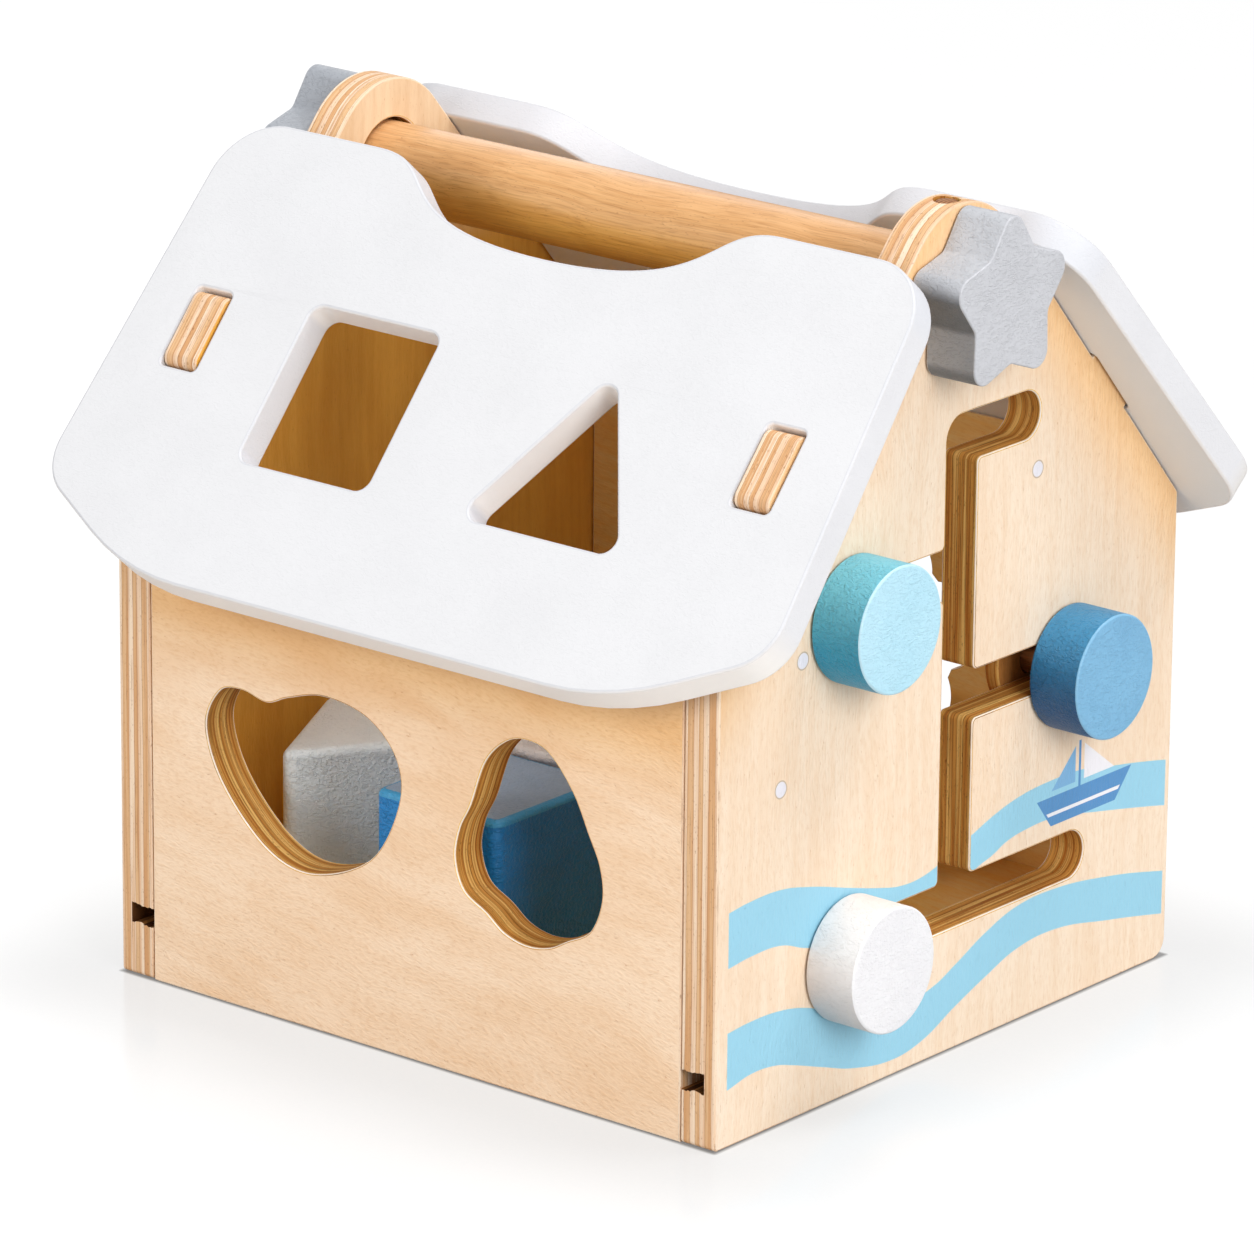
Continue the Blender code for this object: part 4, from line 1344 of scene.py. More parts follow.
    def build(self) -> None:
        """Build the gable and dress it."""
        sizes = self.sizes
        radius = sizes.rod_radius + self.rod_clearance
        holes = [arc((0, sizes.rod_height), radius, 0, math.tau, self.bore_step)[:-1]]
        if self.side is Side.RIGHT:
            holes.append(self.maze())
        turn = Matrix(((0, 0, 1, self.side.sign * sizes.gable_x), (1, 0, 0, 0), (0, 1, 0, 0), (0, 0, 0, 1)))
        groove = (self.groove_low - self.groove_chip, self.groove_high + self.groove_chip)
        name = f"gable_{self.side.name.lower()}"
        plate = Plate(name + "_panel", self.outline(), holes, sizes.ply, self.ease, turn, groove=groove)
        piece = plate.cut_out()
        carve(piece, self.cutters())
        SHOP.dress(piece, self.finishes(), plate.part_of)
        stand_in(piece, "house", "birch_plywood", name)


# Shares of a hole's width and height, counter-clockwise from its left side
CLOUD_SHARES = (
    (0, 0.655), (0.07, 0.87), (0.185, 0.912), (0.315, 0.88), (0.43, 0.94), (0.61, 1), (0.83, 0.95),
    (0.975, 0.77), (0.99, 0.52), (0.85, 0.175), (0.56, 0), (0.32, 0.06), (0.09, 0.35),
)
BELL_SHARES = (
    (0, 0.33), (0.03, 0.48), (0.105, 0.61), (0.205, 0.84), (0.345, 0.965), (0.49, 1), (0.64, 0.965),
    (0.8, 0.81), (0.905, 0.63), (0.985, 0.48), (1, 0.32), (0.925, 0.16), (0.77, 0.08), (0.64, 0.02),
    (0.49, 0), (0.34, 0.03), (0.215, 0.105), (0.06, 0.185),
)


@dataclass(frozen=True)
class ShapeOutline:
    """A hole's shape and the shape of the block that fits it."""

    width: float = 0.0
    height: float = 0.0
    shares: tuple[Point2, ...] = ()
    corner: float = 0.0036
    sides: int = 4
    petals: int = 0
    petal_radius: float = 0.011
    petal_reach: float = 0.0165
    first_petal: float = math.radians(12.0)
    notch_ease: float = math.radians(12.0)

    def draw(self, left: float, bottom: float, inset: float = 0.0, corner: float = 0.0) -> Outline:
        """Draw the shape.

        Args:
            left: Its left side, or a flower's middle.
            bottom: Its lower side, or a flower's middle.
            inset: How far the block lies inside the hole's edge.
            corner: The corners' radius, if not the hole's own.

        Returns:
            The outline, counter-clockwise.
        """
        if self.petals:
            return self.flower((left, bottom), inset)
        left, right = left + inset, left + self.width - inset
        bottom, top = bottom + inset, bottom + self.height - inset
        if self.shares:
            points = [(left + u * (right - left), bottom + v * (top - bottom)) for u, v in self.shares]
            return smooth_closed(points[::-1])
        radius = corner or self.corner
        if self.sides == 3:
            corners = ((left, bottom), (right, bottom), ((left + right) / 2, top))
            return rounded([(*corner, radius) for corner in corners])
        return rectangle(left, bottom, right, top, radius)

    def flower(self, middle: Point2, inset: float) -> Outline:
        """Draw round petals about a middle, their notches eased.

        Args:
            middle: The flower's middle.
            inset: How far the block lies inside the hole's edge.

        Returns:
            The outline.
        """
        radius = self.petal_radius - inset
        half_share = math.pi / self.petals
        chord = self.petal_reach * math.sin(half_share)
        notch = self.petal_reach * math.cos(half_share) + math.sqrt(radius ** 2 - chord ** 2)
        opening = math.atan2(notch * math.sin(half_share), notch * math.cos(half_share) - self.petal_reach)
        half_arc = opening - self.notch_ease
        points: Outline = []
        for i in range(self.petals):
            angle = self.first_petal + 2 * half_share * i
            out = Vector((math.cos(angle), math.sin(angle)))
            petal = Vector(middle) + out * self.petal_reach
            points += arc(petal, radius, angle - half_arc, angle + half_arc)
        return without_repeats(points)


CLOUD = ShapeOutline(0.0611, 0.0447, CLOUD_SHARES)
BELL = ShapeOutline(0.0442, 0.0501, BELL_SHARES)
OBLONG = ShapeOutline(0.0399, 0.0424)
TRIANGLE = ShapeOutline(0.0482, 0.0436, sides=3)
FLOWER = ShapeOutline(petals=5)


@dataclass
class ShapeWall:
    """The front or back wall, with its shape holes and a top planed to the roof's slope."""

    side: Side
    sizes: HouseSizes = HouseSizes()
    ease: float = 0.0004
    wedge_along: float = 0.03
    wedge_above: float = 0.04
    wedge_out: float = 0.01
    # How far below the eave the painted shade under the roof is full, and where it ends
    painted_shade_full_below: float = 0.018
    painted_shade_none_below: float = 0.041

    def holes(self) -> list[Outline]:
        """Draw this wall's holes."""
        if self.side is Side.FRONT:
            return [CLOUD.draw(-0.0642, 0.0391), BELL.draw(0.0137, 0.0368)]
        return [FLOWER.draw(0.0134, 0.0698)]

    def cutters(self, half: float) -> list[Piece]:
        """Make the cutters for the planed top and the dowels' sockets.

        Args:
            half: Half the wall's length.

        Returns:
            The cutters.
        """
        sizes, sign = self.sizes, self.side.sign
        high, out = sizes.eave + self.wedge_above, sizes.half_depth + self.wedge_out
        wedge = [
            sizes.up_slope(self.wedge_along), (sizes.half_depth, high), (out, high),
            (out, sizes.eave - self.wedge_out * math.tan(sizes.slope)),
        ]
        reach = sizes.half_length + CUT_PAST
        made = [prism("top_plane", wedge, -reach, reach, lambda a, b, c: (c, sign * a, b))]
        for end in (-1, 1):
            deep = sizes.inner_x - sizes.dowel_in_wall - FIT_GAP
            made += sizes.sockets(end * (half + CUT_PAST), end * deep, sign * sizes.wall_y)
        return made

    def finishes(self) -> list[Finish]:
        """List the finishes for each part of the plate."""
        sizes = self.sizes
        # The outer face darkens towards the eave: painted shade under the roof
        outer = BirchVeneer(
            "birch_veneer_front", WARM_GRAIN, painted_shade="#f4e2c0", painted_shade_full=sizes.eave - self.painted_shade_full_below,
            painted_shade_none=sizes.eave - self.painted_shade_none_below,
        )
        # The inner face: deeper orange veneer, painted warm shade of the house's inside
        inner = BirchVeneer("birch_veneer_inside_level", INNER_LEVEL_WARM_SHADE)
        # The routed walls are darker partly as painted shade inside the holes
        edge, routed = (
            PlywoodEdge(f"wall_plywood_{name}", Axis.Y, sizes.half_depth - sizes.ply, cut=cut)
            for name, cut in (("edge", Cut.SANDED), ("routed", Cut.ROUTED))
        )
        # The holes' rims: a painted highlight
        rim = BirchVeneer("birch_veneer_wall_rim_painted_highlight", Grain(Axis.X, *RIM_PAINTED_HIGHLIGHT))
        return [*(outer, inner)[::-self.side.sign], edge, routed, rim]

    def build(self) -> None:
        """Build the wall and dress it."""
        sizes = self.sizes
        half = sizes.inner_x - FIT_GAP
        top = sizes.eave + sizes.ply * math.tan(sizes.slope)
        turn = Matrix(((1, 0, 0, 0), (0, 0, -1, self.side.sign * sizes.wall_y), (0, 1, 0, 0), (0, 0, 0, 1)))
        outline = [(-half, 0.0), (half, 0.0), (half, top), (-half, top)]
        name = f"{self.side.name.lower()}_wall"
        plate = Plate(name + "_panel", outline, self.holes(), sizes.ply, self.ease, turn)
        piece = plate.cut_out()
        carve(piece, self.cutters(half))
        SHOP.dress(piece, self.finishes(), plate.part_of)
        stand_in(piece, "house", "birch_plywood", name)


@dataclass
class RoofPanel:
    """A painted roof panel that lies on the gables and lets their tabs through."""

    side: Side
    sizes: HouseSizes = HouseSizes()
    edge_round: float = 0.0007
    below_eave: float = 0.0188
    up_to_ridge: float = 0.100
    half_at_ridge: float = 0.1053
    half_at_eave: float = 0.1109
    ridge_corner: float = 0.0165
    eave_corner: float = 0.014
    cut_rise: float = 0.0195
    cut_run: float = 0.0375
    cut_radius: float = 0.070
    scoop_depth: float = 0.0184
    scoop_half: float = 0.061
    scoop_edge_handle: float = 0.0212
    scoop_bottom_handle: float = 0.0514
    scoop_steps: int = 28
    slot_corner: float = 0.0015
    slot_across: float = 0.0006
    slot_along: float = 0.0008
    holes_up_slope: float = 0.0150
    oblong_middle: float = -0.0371
    triangle_middle: float = 0.0350
    # One white paint in lit and shaded copies: the sawn edges and the arris are drawn darker than the face,
    # painted shade, and each part is lighter where it looks down, painted light
    paints: tuple[SatinPaint, ...] = (
        SatinPaint("white_satin_paint", "#dfdfe1", "#dbdbdd", 0.00003, 0.6, "#eef1f4"),
        SatinPaint("white_satin_paint_edge_painted_shade_and_light", "#d8d9de", "#d4d5da", 0.00004, 0.6, "#fffaf5", 0.25),
        SatinPaint("white_satin_paint_arris_painted_shade_and_light", "#d2d2d6", "#cecfd3", 0.00003, 0.6, "#f0ebe8"),
    )

    def outline(self) -> Outline:
        """Draw the panel's edge, X along the eave and Y up the slope from the eave line."""
        half = [
            (self.half_at_eave - self.cut_run, -self.below_eave, self.cut_radius),
            (self.half_at_eave, self.cut_rise - self.below_eave, self.eave_corner),
            (self.half_at_ridge, self.up_to_ridge, self.ridge_corner),
        ]
        edge = rounded([*half, *[(-x, y, radius) for x, y, radius in reversed(half)]])
        bottom = self.up_to_ridge - self.scoop_depth
        ends = (
            (self.scoop_half, self.up_to_ridge), (self.scoop_half - self.scoop_edge_handle, self.up_to_ridge),
            (self.scoop_bottom_handle, bottom), (0, bottom),
        )
        scoop = bezier(ends, self.scoop_steps)
        scoop += [(-x, y) for x, y in reversed(scoop)][1:]
        top = self.up_to_ridge - MERGE_DISTANCE
        split = next(i for i, (x, y) in enumerate(edge) if y >= top and x < self.scoop_half)
        return [*edge[:split], *scoop, *edge[split:]]

    def holes(self) -> list[Outline]:
        """Draw the two slots for the gables' tabs, and the front panel's shape holes."""
        sizes = self.sizes
        half_x = sizes.ply / 2 + self.slot_across
        half_y = sizes.tab_half + self.slot_along
        low, high = sizes.tab_middle - half_y, sizes.tab_middle + half_y
        drawn = [
            rectangle(x - half_x, low, x + half_x, high, self.slot_corner)
            for x in (-sizes.gable_x, sizes.gable_x)
        ]
        if self.side is Side.FRONT:
            for shape, middle in ((OBLONG, self.oblong_middle), (TRIANGLE, self.triangle_middle)):
                drawn.append(shape.draw(middle - shape.width / 2, self.holes_up_slope))
        return drawn

    def build(self) -> None:
        """Build the panel and paint it."""
        sizes, sign = self.sizes, self.side.sign
        y, z = sizes.up_slope(0, FIT_GAP + sizes.roof_thickness / 2)
        turn = Matrix.Translation((0, sign * y, z))
        if sign > 0:
            turn = turn @ Matrix.Rotation(math.pi, 4, "Z")
        turn = turn @ Matrix.Rotation(sizes.slope, 4, "X")
        name = f"roof_{self.side.name.lower()}"
        piece = Plate(
            name + "_panel", self.outline(), self.holes(), sizes.roof_thickness, self.edge_round, turn, 3
        ).cut_out()
        SHOP.dress(piece, self.paints, by_direction(turn.col[2][:3], FLAT, 0.10, both=True))
        stand_in(piece, name, "white_paint", name)


@dataclass
class ShapeTree:
    """Geometry Nodes that draw a shape from named inputs and give it its finish."""

    name: str
    floats: tuple[str, ...]
    vectors: tuple[str, ...]

    def draw(self, tree: Tree, given: Any) -> Node:
        """Draw the shape.

        Args:
            tree: The node tree.
            given: The named inputs.

        Returns:
            The node with the shape.
        """
        raise NotImplementedError

    def build(self) -> Tree:
        """Build the node tree."""
        tree = bpy.data.node_groups.new(self.name, "GeometryNodeTree")
        add = partial(add_node, tree)
        for kind, labels in (("Float", self.floats), ("Vector", self.vectors), ("Material", ("Finish",))):
            for label in labels:
                tree.interface.new_socket(label, in_out="INPUT", socket_type="NodeSocket" + kind)
        tree.interface.new_socket("Geometry", in_out="OUTPUT", socket_type="NodeSocketGeometry")
        given = add("NodeGroupInput").outputs
        real = add("GeometryNodeRealizeInstances", self.draw(tree, given))
        dressed = add("GeometryNodeSetMaterial", {"Geometry": real, "Material": given["Finish"]})
        add("NodeGroupOutput", dressed)
        return tree


@dataclass
class StarTree(ShapeTree):
    """A star with rounded tips, as thick as asked."""

    name: str = "rounded_star"
    floats: tuple[str, ...] = ("Tip radius", "Notch radius", "Tip round", "Notch round", "Thickness")
    vectors: tuple[str, ...] = ("Middle",)

    def draw(self, tree: Tree, given: Any) -> Node:
        """Draw the star and stand it up.

        Args:
            tree: The node tree.
            given: The named inputs.

        Returns:
            The node with the shape.
        """
        add = partial(add_node, tree)
        star = add("GeometryNodeCurveStar", {
            "Points": 5, "Inner Radius": given["Notch radius"], "Outer Radius": given["Tip radius"],
            "Twist": 0.0,
        })
        tips = star.outputs["Outer Points"]
        radius = add("GeometryNodeSwitch", tips, given["Notch round"], given["Tip round"], input_type="FLOAT")
        soft = add("GeometryNodeFilletCurve", {"Curve": star, "Radius": radius, "Count": 14}, mode="POLY")
        face = add("GeometryNodeFillCurve", soft, mode="NGONS")
        sides = {"Mesh": face, "Offset Scale": given["Thickness"], "Individual": False}
        both = add("GeometryNodeJoinGeometry", add("GeometryNodeExtrudeMesh", sides, mode="FACES"))
        plug(tree, both, {0: add("GeometryNodeFlipFaces", face)})
        joined = add("GeometryNodeMergeByDistance", {0: both, "Distance": MERGE_DISTANCE})
        half = add("Math", given["Thickness"], -0.5, operation="MULTIPLY")
        for place, turn in (
            (add("CombineXYZ", {2: half}), (0, 0, math.pi / 2)),
            (given["Middle"], (math.pi / 2, 0, math.pi / 2)),
        ):
            move = {"Geometry": joined, "Translation": place, "Rotation": turn}
            joined = add("GeometryNodeTransform", move)
        return joined


@dataclass
class DowelTree(ShapeTree):
    """One pin at each corner of the house, at two heights."""

    name: str = "corner_dowels"
    floats: tuple[str, ...] = ("Radius", "Length", "Span X", "Span Y")
    vectors: tuple[str, ...] = ("Lower", "Upper")

    def draw(self, tree: Tree, given: Any) -> Node:
        """Draw the pins.

        Args:
            tree: The node tree.
            given: The named inputs.

        Returns:
            The node with the shape.
        """
        add = partial(add_node, tree)
        corners = add("GeometryNodeMeshGrid", given["Span X"], given["Span Y"], 2, 2)
        both = add("GeometryNodeJoinGeometry")
        for level in self.vectors:
            raised = add("GeometryNodeTransform", {"Geometry": corners, "Translation": given[level]})
            plug(tree, both, {0: raised})
        pin = add("GeometryNodeMeshCylinder", {
            "Vertices": 32, "Radius": given["Radius"], "Depth": given["Length"],
        })
        return add("GeometryNodeInstanceOnPoints", {
            "Points": both, "Instance": pin, "Rotation": (0, math.pi / 2, 0),
        })


def grown(name: str, tree: Tree, values: dict[str, Any], ease: float, steps: int) -> Piece:
    """Run a node tree on a new piece, and ease the edges of what it makes.

    Args:
        name: The piece's name.
        tree: The tree.
        values: A value for each named input.
        ease: How wide the eased edges are.
        steps: How many facets they have.

    Returns:
        The piece.
    """
    piece = new_piece(name, bpy.data.meshes.new(name))
    made = piece.modifiers.new(tree.name, "NODES")
    made.node_group = tree
    for item in tree.interface.items_tree:
        if item.in_out == "INPUT":
            made[item.identifier] = values[item.name]
    modify(piece, "BEVEL", width=ease, segments=steps, limit_method="ANGLE", angle_limit=EASED_ANGLE)
    settle(piece)
    return piece


@dataclass
class CarryHandle:
    """The rod through both ears, its locking pin, and a star on each end."""

    sizes: HouseSizes = HouseSizes()
    star_tip: float = 0.024
    star_notch: float = 0.0143
    tip_round: float = 0.0042
    notch_round: float = 0.003
    star_thickness: float = 0.014
    star_ease: float = 0.0004
    star_gap: float = 0.0005
    star_bore: float = 0.008
    pin_in_rod: float = 0.008
    pin_dome: float = 0.0006
    pin_crown: float = 0.0001
    pin_flat: float = 0.4
    rod_chamfer: float = 0.0008
    # One grey paint in lit and shaded copies: the sides and arris are drawn darker than the face, painted
    # shade, and the sides darker still where they look down
    face: SatinPaint = SatinPaint("grey_satin_paint", "#c8c9ce", "#bebfc4", 0.00018)
    arris: SatinPaint = SatinPaint("grey_satin_paint_arris_painted_shade", "#bfc0c5", "#b6b7bc", 0.00010)
    side_right: SatinPaint = SatinPaint(
        "grey_satin_paint_side_painted_shade", "#bcbec3", "#b0b2b7", 0.00020, under="#6b7076"
    )
    # The left star's sides are darker again: a painted shadow of the ear
    side_left: SatinPaint = SatinPaint(
        "grey_satin_paint_side_painted_shade_left", "#a4a8af", "#989ca3", 0.00020, under="#6b7076"
    )

    def build_rod(self) -> None:
        """Turn the rod."""
        sizes, chamfer = self.sizes, self.rod_chamfer
        end = sizes.half_length + self.star_gap + self.star_bore - FIT_GAP
        radius = sizes.rod_radius
        half = [(radius, end / 2), (radius, end - chamfer), (radius - chamfer, end), (0, end)]
        profile = [*[(r, -h) for r, h in reversed(half)], (radius, 0), *half]
        rod = turned("handle_rod_turned", profile, (0, 0, sizes.rod_height), Axis.X)
        low = sizes.rod_height + radius - self.pin_in_rod - FIT_GAP
        ends = (sizes.gable_x, 0, low), (sizes.gable_x, 0, sizes.apex)
        carve(rod, [drill(sizes.pin_radius + FIT_GAP, *ends)])
        SHOP.dress(rod, [VarnishedBeech("varnished_beech_rod")])
        stand_in(rod, "house", "varnished_beech", "handle_rod")

    def build_pin(self) -> None:
        """Turn the locking pin, its upper end a little domed."""
        sizes, radius, dome = self.sizes, self.sizes.pin_radius, self.pin_dome
        low = sizes.rod_height + sizes.rod_radius - self.pin_in_rod
        length = sizes.rod_height + sizes.ear_radius - FIT_GAP - low
        profile = [
            (0, 0), (radius, 0), (radius, length - dome), (radius - dome, length - self.pin_crown),
            (radius * self.pin_flat, length), (0, length),
        ]
        pin = turned("handle_pin_turned", profile, (sizes.gable_x, 0, low), Axis.Z, 48)
        SHOP.dress(pin, [DowelWood("beech_pin_end_grain", Axis.Z, (sizes.gable_x, 0, 0))])
        stand_in(pin, "house", "beech_dowel", "handle_pin")

    def build_stars(self) -> None:
        """Draw both stars by rule, ease their edges and bore them for the rod."""
        sizes, height = self.sizes, self.sizes.rod_height
        tree = StarTree().build()
        # Each star's sides take a darker copy of the grey paint: painted shade
        for side, sawn in ((Side.LEFT, self.side_left), (Side.RIGHT, self.side_right)):
            name = f"star_{side.name.lower()}"
            near = sizes.half_length + self.star_gap
            star = grown(name + "_shaped", tree, {
                "Tip radius": self.star_tip, "Notch radius": self.star_notch, "Tip round": self.tip_round,
                "Notch round": self.notch_round, "Thickness": self.star_thickness,
                "Middle": (side.sign * (near + self.star_thickness / 2), 0.0, height),
                "Finish": SHOP.get(self.face),
            }, self.star_ease, 3)
            ends = [(side.sign * x, 0, height) for x in (sizes.half_length - CUT_PAST, near + self.star_bore)]
            carve(star, [drill(sizes.rod_radius + FIT_GAP, *ends)])
            SHOP.dress(star, (self.face, sawn, self.arris), by_direction(Axis.X.value, 0.95, 0.20, both=True))
            stand_in(star, "house", "grey_paint", name)

    def build(self) -> None:
        """Build the handle's pieces and dress them."""
        self.build_rod()
        self.build_pin()
        self.build_stars()


@dataclass
class CornerDowels:
    """Eight pins that join the walls to the gables."""

    sizes: HouseSizes = HouseSizes()
    chamfer: float = 0.0006

    def build(self) -> None:
        """Set the pins by rule and dress them."""
        sizes = self.sizes
        length = sizes.dowel_in_gable + sizes.dowel_in_wall
        finish = DowelWood("beech_dowel_side_grain", Axis.X)
        pins = grown("corner_dowels", DowelTree().build(), {
            "Radius": sizes.dowel_radius, "Length": length,
            "Span X": 2 * (sizes.inner_x + sizes.dowel_in_gable) - length, "Span Y": 2 * sizes.wall_y,
            "Lower": (0.0, 0.0, sizes.dowel_low), "Upper": (0.0, 0.0, sizes.dowel_high),
            "Finish": SHOP.get(finish),
        }, self.chamfer, 2)
        SHOP.dress(pins, [finish])
        nodes = [
            f"dowel_{wall}_{end}_{level}"
            for wall in ("front", "back") for end in ("left", "right") for level in ("lower", "upper")
        ]
        stand_in(pins, "house", "beech_dowel", *nodes)


@dataclass
class MazeKnob:
    """A turned knob outside the gable, a disc inside it, and the peg between them."""

    name: str
    slot: str
    y: float
    z: float
    paints: tuple[SatinPaint, ...]
    sizes: HouseSizes = HouseSizes()
    radius: float = 0.01525
    length: float = 0.014
    edge_round: float = 0.0006
    edge_step: float = math.radians(15.0)
    bore_depth: float = 0.009
    running_gap: float = 0.0005
    peg_radius: float = 0.004
    disc_radius: float = 0.013
    disc_thickness: float = 0.004
    disc_ease: float = 0.0005

    @property
    def base(self) -> Point3:
        """Where the peg leaves the gable's outer face."""
        return (self.sizes.half_length, self.y, self.z)

    def build_knob(self) -> None:
        """Turn the knob."""
        low, high = self.running_gap, self.running_gap + self.length
        small, bore = self.edge_round, self.peg_radius + FIT_GAP
        profile = [(0, high), (self.radius / 2, high)]
        profile += arc((self.radius - small, high - small), small, math.pi / 2, 0, self.edge_step)
        profile += arc((self.radius - small, low + small), small, 0, -math.pi / 2, self.edge_step)
        profile += [(bore, low), (bore, low + self.bore_depth), (0, low + self.bore_depth)]
        knob = turned(f"knob_{self.name}_turned", profile, self.base, Axis.X)
        SHOP.dress(knob, self.paints, by_direction(Axis.X.value, FLAT, 0.20))
        stand_in(knob, f"knob_{self.name}", self.slot, f"knob_{self.name}")

    def build_disc(self) -> None:
        """Turn the disc inside the gable."""
        top = -self.sizes.ply - self.running_gap
        bottom = top - self.disc_thickness
        edge, ease, bore = self.disc_radius, self.disc_ease, self.peg_radius + FIT_GAP
        profile = [
            (bore, top), (edge - ease, top), (edge, top - ease), (edge, bottom + ease), (edge - ease, bottom),
            (bore, bottom), (bore, top),
        ]
        disc = turned(f"disc_{self.name}_turned", profile, self.base, Axis.X, 72)
        inner = self.sizes.half_length + bottom
        finishes = (
            BirchVeneer("birch_veneer_disc_dark", DISC_GRAIN),
            PlywoodEdge("disc_plywood_edge", Axis.X, inner, self.disc_thickness, Cut.ROUTED),
        )
        SHOP.dress(disc, finishes, by_direction(Axis.X.value, 0.9, 1.0, both=True))
        stand_in(disc, f"slider_{self.name}", "birch_plywood", f"disc_{self.name}")

    def build(self) -> None:
        """Build the knob and its disc, and dress them and the peg."""
        self.build_knob()
        self.build_disc()
        wood = DowelWood(f"beech_peg_{self.name}", Axis.X, (0, self.y, self.z))
        SHOP.coat_frame_node(f"peg_{self.name}", wood)


@dataclass
class LooseBlock:
    """A painted block that stands on the floor panel.

    The anchor is the point of the block that stands at its place, as shares of its width and depth.
    """

    name: str
    slot: str
    shape: ShapeOutline
    x: float
    y: float
    paint: SatinPaint
    turn: float = 0.0
    anchor: Point2 = (0.5, 0.5)
    # When given, the arris and upper paints are lighter copies of the block's paint: painted light
    arris: SatinPaint | None = None
    upper: SatinPaint | None = None
    height: float = 0.0404
    floor: float = 0.0179
    clearance: float = 0.0008
    corner: float = 0.0028
    edge_round: float = 0.0021

    def build(self) -> None:
        """Saw the block out, round its edges and paint it."""
        left, bottom = (
            -share * (size - 2 * self.clearance) - self.clearance
            for share, size in zip(self.anchor, (self.shape.width, self.shape.height))
        )
        outline = self.shape.draw(left, bottom, self.clearance, self.corner)
        place = Matrix.Translation((self.x, self.y, self.floor + self.height / 2))
        turn = place @ Matrix.Rotation(self.turn, 4, "Z")
        name = f"block_{self.name}"
        piece = Plate(name + "_sawn", outline, [], self.height, self.edge_round, turn, 3).cut_out()
        # A given upper paint is painted light on the top, and a given arris paint a painted highlight
        paints = (self.upper or self.paint, self.paint, self.arris or self.paint)
        SHOP.dress(piece, paints, by_direction(Axis.Z.value, FLAT, 0.10))
        stand_in(piece, name, self.slot, name)


@dataclass(frozen=True)
class SoftBox:
    """A square lamp that faces the house, its power in watts."""

    name: str
    place: Point3
    width: float
    power: float

    def hang(self, target: Point3) -> None:
        """Hang the lamp, turned to a target.

        Args:
            target: What it faces.
        """
        data = bpy.data.lights.new(self.name, "AREA")
        data.shape = "SQUARE"
        data.size = self.width
        data.energy = self.power
        lamp = new_piece(self.name, data)
        lamp.location = self.place
        aim = Vector(target) - lamp.location
        lamp.rotation_euler = aim.to_track_quat("-Z", "Y").to_euler()


@dataclass
class Studio:
    """The pale floor, the soft lamps, the white surround and the camera."""

    scale: float = 0.184
    azimuth: float = math.radians(39.4544)
    elevation: float = math.radians(17.9773)
    roll: float = math.radians(0.48863)
    focal: float = 8387.37
    image: float = 1254.0
    sensor: float = 36.0
    distance: float = 2.00933
    target_height: float = 0.46428
    target_aside: float = -0.02827
    around: float = 0.38
    floor_reach: float = 6.0
    floor_height: float = -0.0001
    lamp_target: Point3 = (0.0, 0.0, 0.10)
    lamps: tuple[SoftBox, ...] = (
        SoftBox("soft_box_right", (2.1, -0.7, 0.95), 1.3, 35.0),
        SoftBox("soft_box_front", (-0.6, -2.2, 0.8), 1.4, 26.0),
        SoftBox("soft_box_above", (0.5, 0.55, 1.9), 0.9, 24.0),
        SoftBox("soft_box_behind", (-1.9, 1.3, 1.0), 1.6, 10.0),
    )

    def camera(self) -> None:
        """Set the camera at the photograph's viewing angle."""
        az, el = self.azimuth, self.elevation
        right = Vector((math.cos(az), math.sin(az), 0))
        ahead = Vector((-math.sin(az) * math.cos(el), math.cos(az) * math.cos(el), -math.sin(el)))
        up = right.cross(ahead)
        rolled = right * math.cos(self.roll) + up * math.sin(self.roll)
        upright = up * math.cos(self.roll) - right * math.sin(self.roll)
        target = Vector((0, 0, self.target_height * self.scale)) + right * (self.target_aside * self.scale)
        data = bpy.data.cameras.new("camera")
        data.sensor_fit = "HORIZONTAL"
        data.sensor_width = self.sensor
        data.lens = self.focal / self.image * self.sensor
        data.clip_start = 0.05
        data.clip_end = 30.0
        camera = new_piece("camera", data)
        turn = Matrix((rolled, upright, -ahead)).transposed()
        camera.matrix_world = Matrix.Translation(target - ahead * self.distance) @ turn.to_4x4()
        bpy.context.scene.camera = camera

    def floor(self) -> None:
        """Lay the studio paper."""
        mesh = bpy.data.meshes.new("studio_paper")
        signs = ((-1, -1), (1, -1), (1, 1), (-1, 1))
        corners = [(x * self.floor_reach, y * self.floor_reach, self.floor_height) for x, y in signs]
        mesh.from_pydata(corners, [], [(0, 1, 2, 3)])
        mesh.materials.append(PaleSweep().build())
        paper = new_piece("studio_paper", mesh)

    def surround(self) -> None:
        """Set the even light of a white studio, seen as white by the camera and in reflections."""
        world = bpy.data.worlds.new("white_studio")
        bpy.context.scene.world = world
        world.use_nodes = True
        world.node_tree.nodes.clear()
        add = partial(add_node, world.node_tree)
        rays = add("LightPath").outputs
        seen = add("Math", rays["Is Camera Ray"], rays["Is Transmission Ray"], operation="MAXIMUM")
        level = add("MapRange", seen, 0, 1, self.around, 1)
        add("OutputWorld", add("Background", {"Color": "#ffffff", "Strength": level}))

    def build(self) -> None:
        """Set up the studio."""
        self.camera()
        self.floor()
        self.surround()
        for lamp in self.lamps:
            lamp.hang(self.lamp_target)


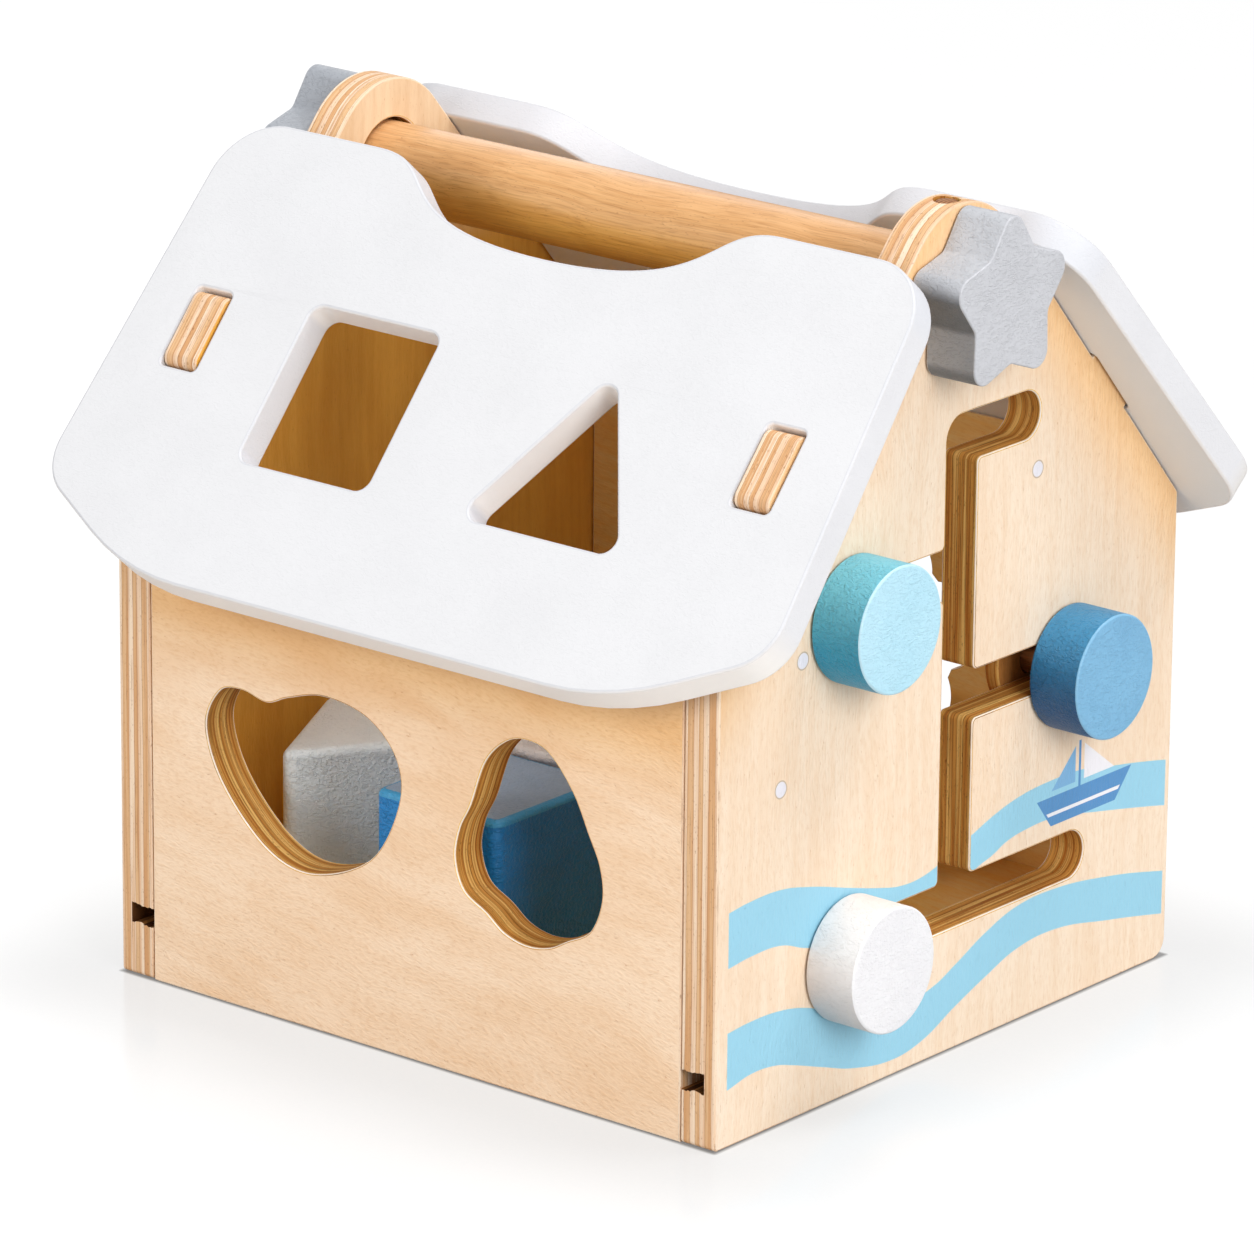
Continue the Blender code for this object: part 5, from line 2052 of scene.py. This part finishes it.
def knobs() -> list[MazeKnob]:
    """List the three knobs, each with the paints of its face, its side and its arris."""
    # Each knob's side paint is a darker copy of its face paint, painted shade, darker again where it looks
    # down; the light blue and blue arris paints are lighter copies, a painted highlight
    light_blue = (
        SatinPaint("light_blue_satin_paint", "#bae3f3", "#b1deef", 0.00019, 0.8),
        SatinPaint("light_blue_satin_paint_side_painted_shade", "#7acde2", "#6cc3db", 0.00034, 0.8, "#0095be", 1.0),
        SatinPaint("light_blue_satin_paint_painted_highlight_arris", "#c0e5f3", "#b7e0f0", 0.00012, 0.8),
    )
    blue = (
        SatinPaint("blue_satin_paint", "#80b8db", "#76add2", 0.00019, 0.8),
        SatinPaint("blue_satin_paint_side_painted_shade", "#4497c8", "#388bbb", 0.00034, 0.8, "#004f84", 1.0),
        SatinPaint("blue_satin_paint_painted_highlight_arris", "#88bee0", "#7eb5d8", 0.00012, 0.8),
    )
    white = (
        SatinPaint("white_satin_paint_knob", "#f1f0f2", "#ebeaed", 0.00014, 0.8),
        SatinPaint("white_satin_paint_side_painted_shade", "#f1eeed", "#e9e5e4", 0.00018, 0.8, "#d2cdcc"),
        SatinPaint("white_satin_paint_knob_arris", "#f1f0f2", "#ebeaed", 0.00010, 0.8),
    )
    return [
        MazeKnob("light_blue", "light_blue_paint", -0.0396, 0.1171, light_blue),
        MazeKnob("blue", "blue_paint", 0.0437, 0.0850, blue),
        MazeKnob("white", "white_paint", -0.0397, 0.0347, white),
    ]


def blocks() -> list[LooseBlock]:
    """List the five loose blocks."""
    pale_grey = SatinPaint("pale_grey_satin_paint", "#f3fcff", "#ebf5f9")
    deep_blue = SatinPaint("deep_blue_satin_paint", "#228bd4", "#1d80c5")
    # The oblong's arris and top take lighter copies of its blue: a painted highlight on the arris and painted
    # light on the top
    arris_painted_highlight = SatinPaint("deep_blue_satin_paint_painted_highlight_arris", "#49aade", "#3f9fd2", 0.00024)
    top_painted_light = SatinPaint("deep_blue_satin_paint_top_painted_light", "#a4bfdb", "#97b3cf")
    yellow = SatinPaint("yellow_satin_paint", "#f0cf35", "#e6c42c")
    sky_blue = SatinPaint("sky_blue_satin_paint", "#8fd0e8", "#83c7e0")
    white = SatinPaint("white_satin_paint_block", "#f0eeee", "#e9e7e7")
    turn = math.radians(55.7)
    oblong = LooseBlock(
        "oblong", "blue_paint", OBLONG, 0.0146, -0.0728, deep_blue, 0.0, (1, 0), arris_painted_highlight, top_painted_light,
        edge_round=0.0016,
    )
    return [
        LooseBlock("triangle", "pale_grey_paint", TRIANGLE, -0.0577, -0.0687, pale_grey, turn, (0, 0)),
        oblong,
        LooseBlock("flower", "yellow_paint", FLOWER, 0.0225, 0.0430, yellow),
        LooseBlock("bell", "light_blue_paint", BELL, -0.0500, 0.0450, sky_blue),
        LooseBlock("cloud", "white_paint", CLOUD, -0.0140, -0.0065, white),
    ]


def main() -> None:
    """Build the house piece by piece, and light it."""
    logging.basicConfig(level=logging.INFO, format="%(name)s %(message)s")
    bpy.context.scene.view_settings.view_transform = "Standard"
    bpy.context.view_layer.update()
    pieces = [
        Gable(Side.LEFT), Gable(Side.RIGHT), ShapeWall(Side.FRONT), ShapeWall(Side.BACK), CornerDowels(),
        RoofPanel(Side.FRONT), RoofPanel(Side.BACK), CarryHandle(), *knobs(), *blocks(),
    ]
    for piece in pieces:
        piece.build()
    # The floor panel: deeper orange veneer, painted warm shade of the house's inside
    SHOP.coat_frame_node("floor_panel", BirchVeneer("birch_veneer_floor", INNER_LEVEL_WARM_SHADE))
    Studio().build()
    bpy.context.view_layer.update()


if __name__ == "__main__":
    main()
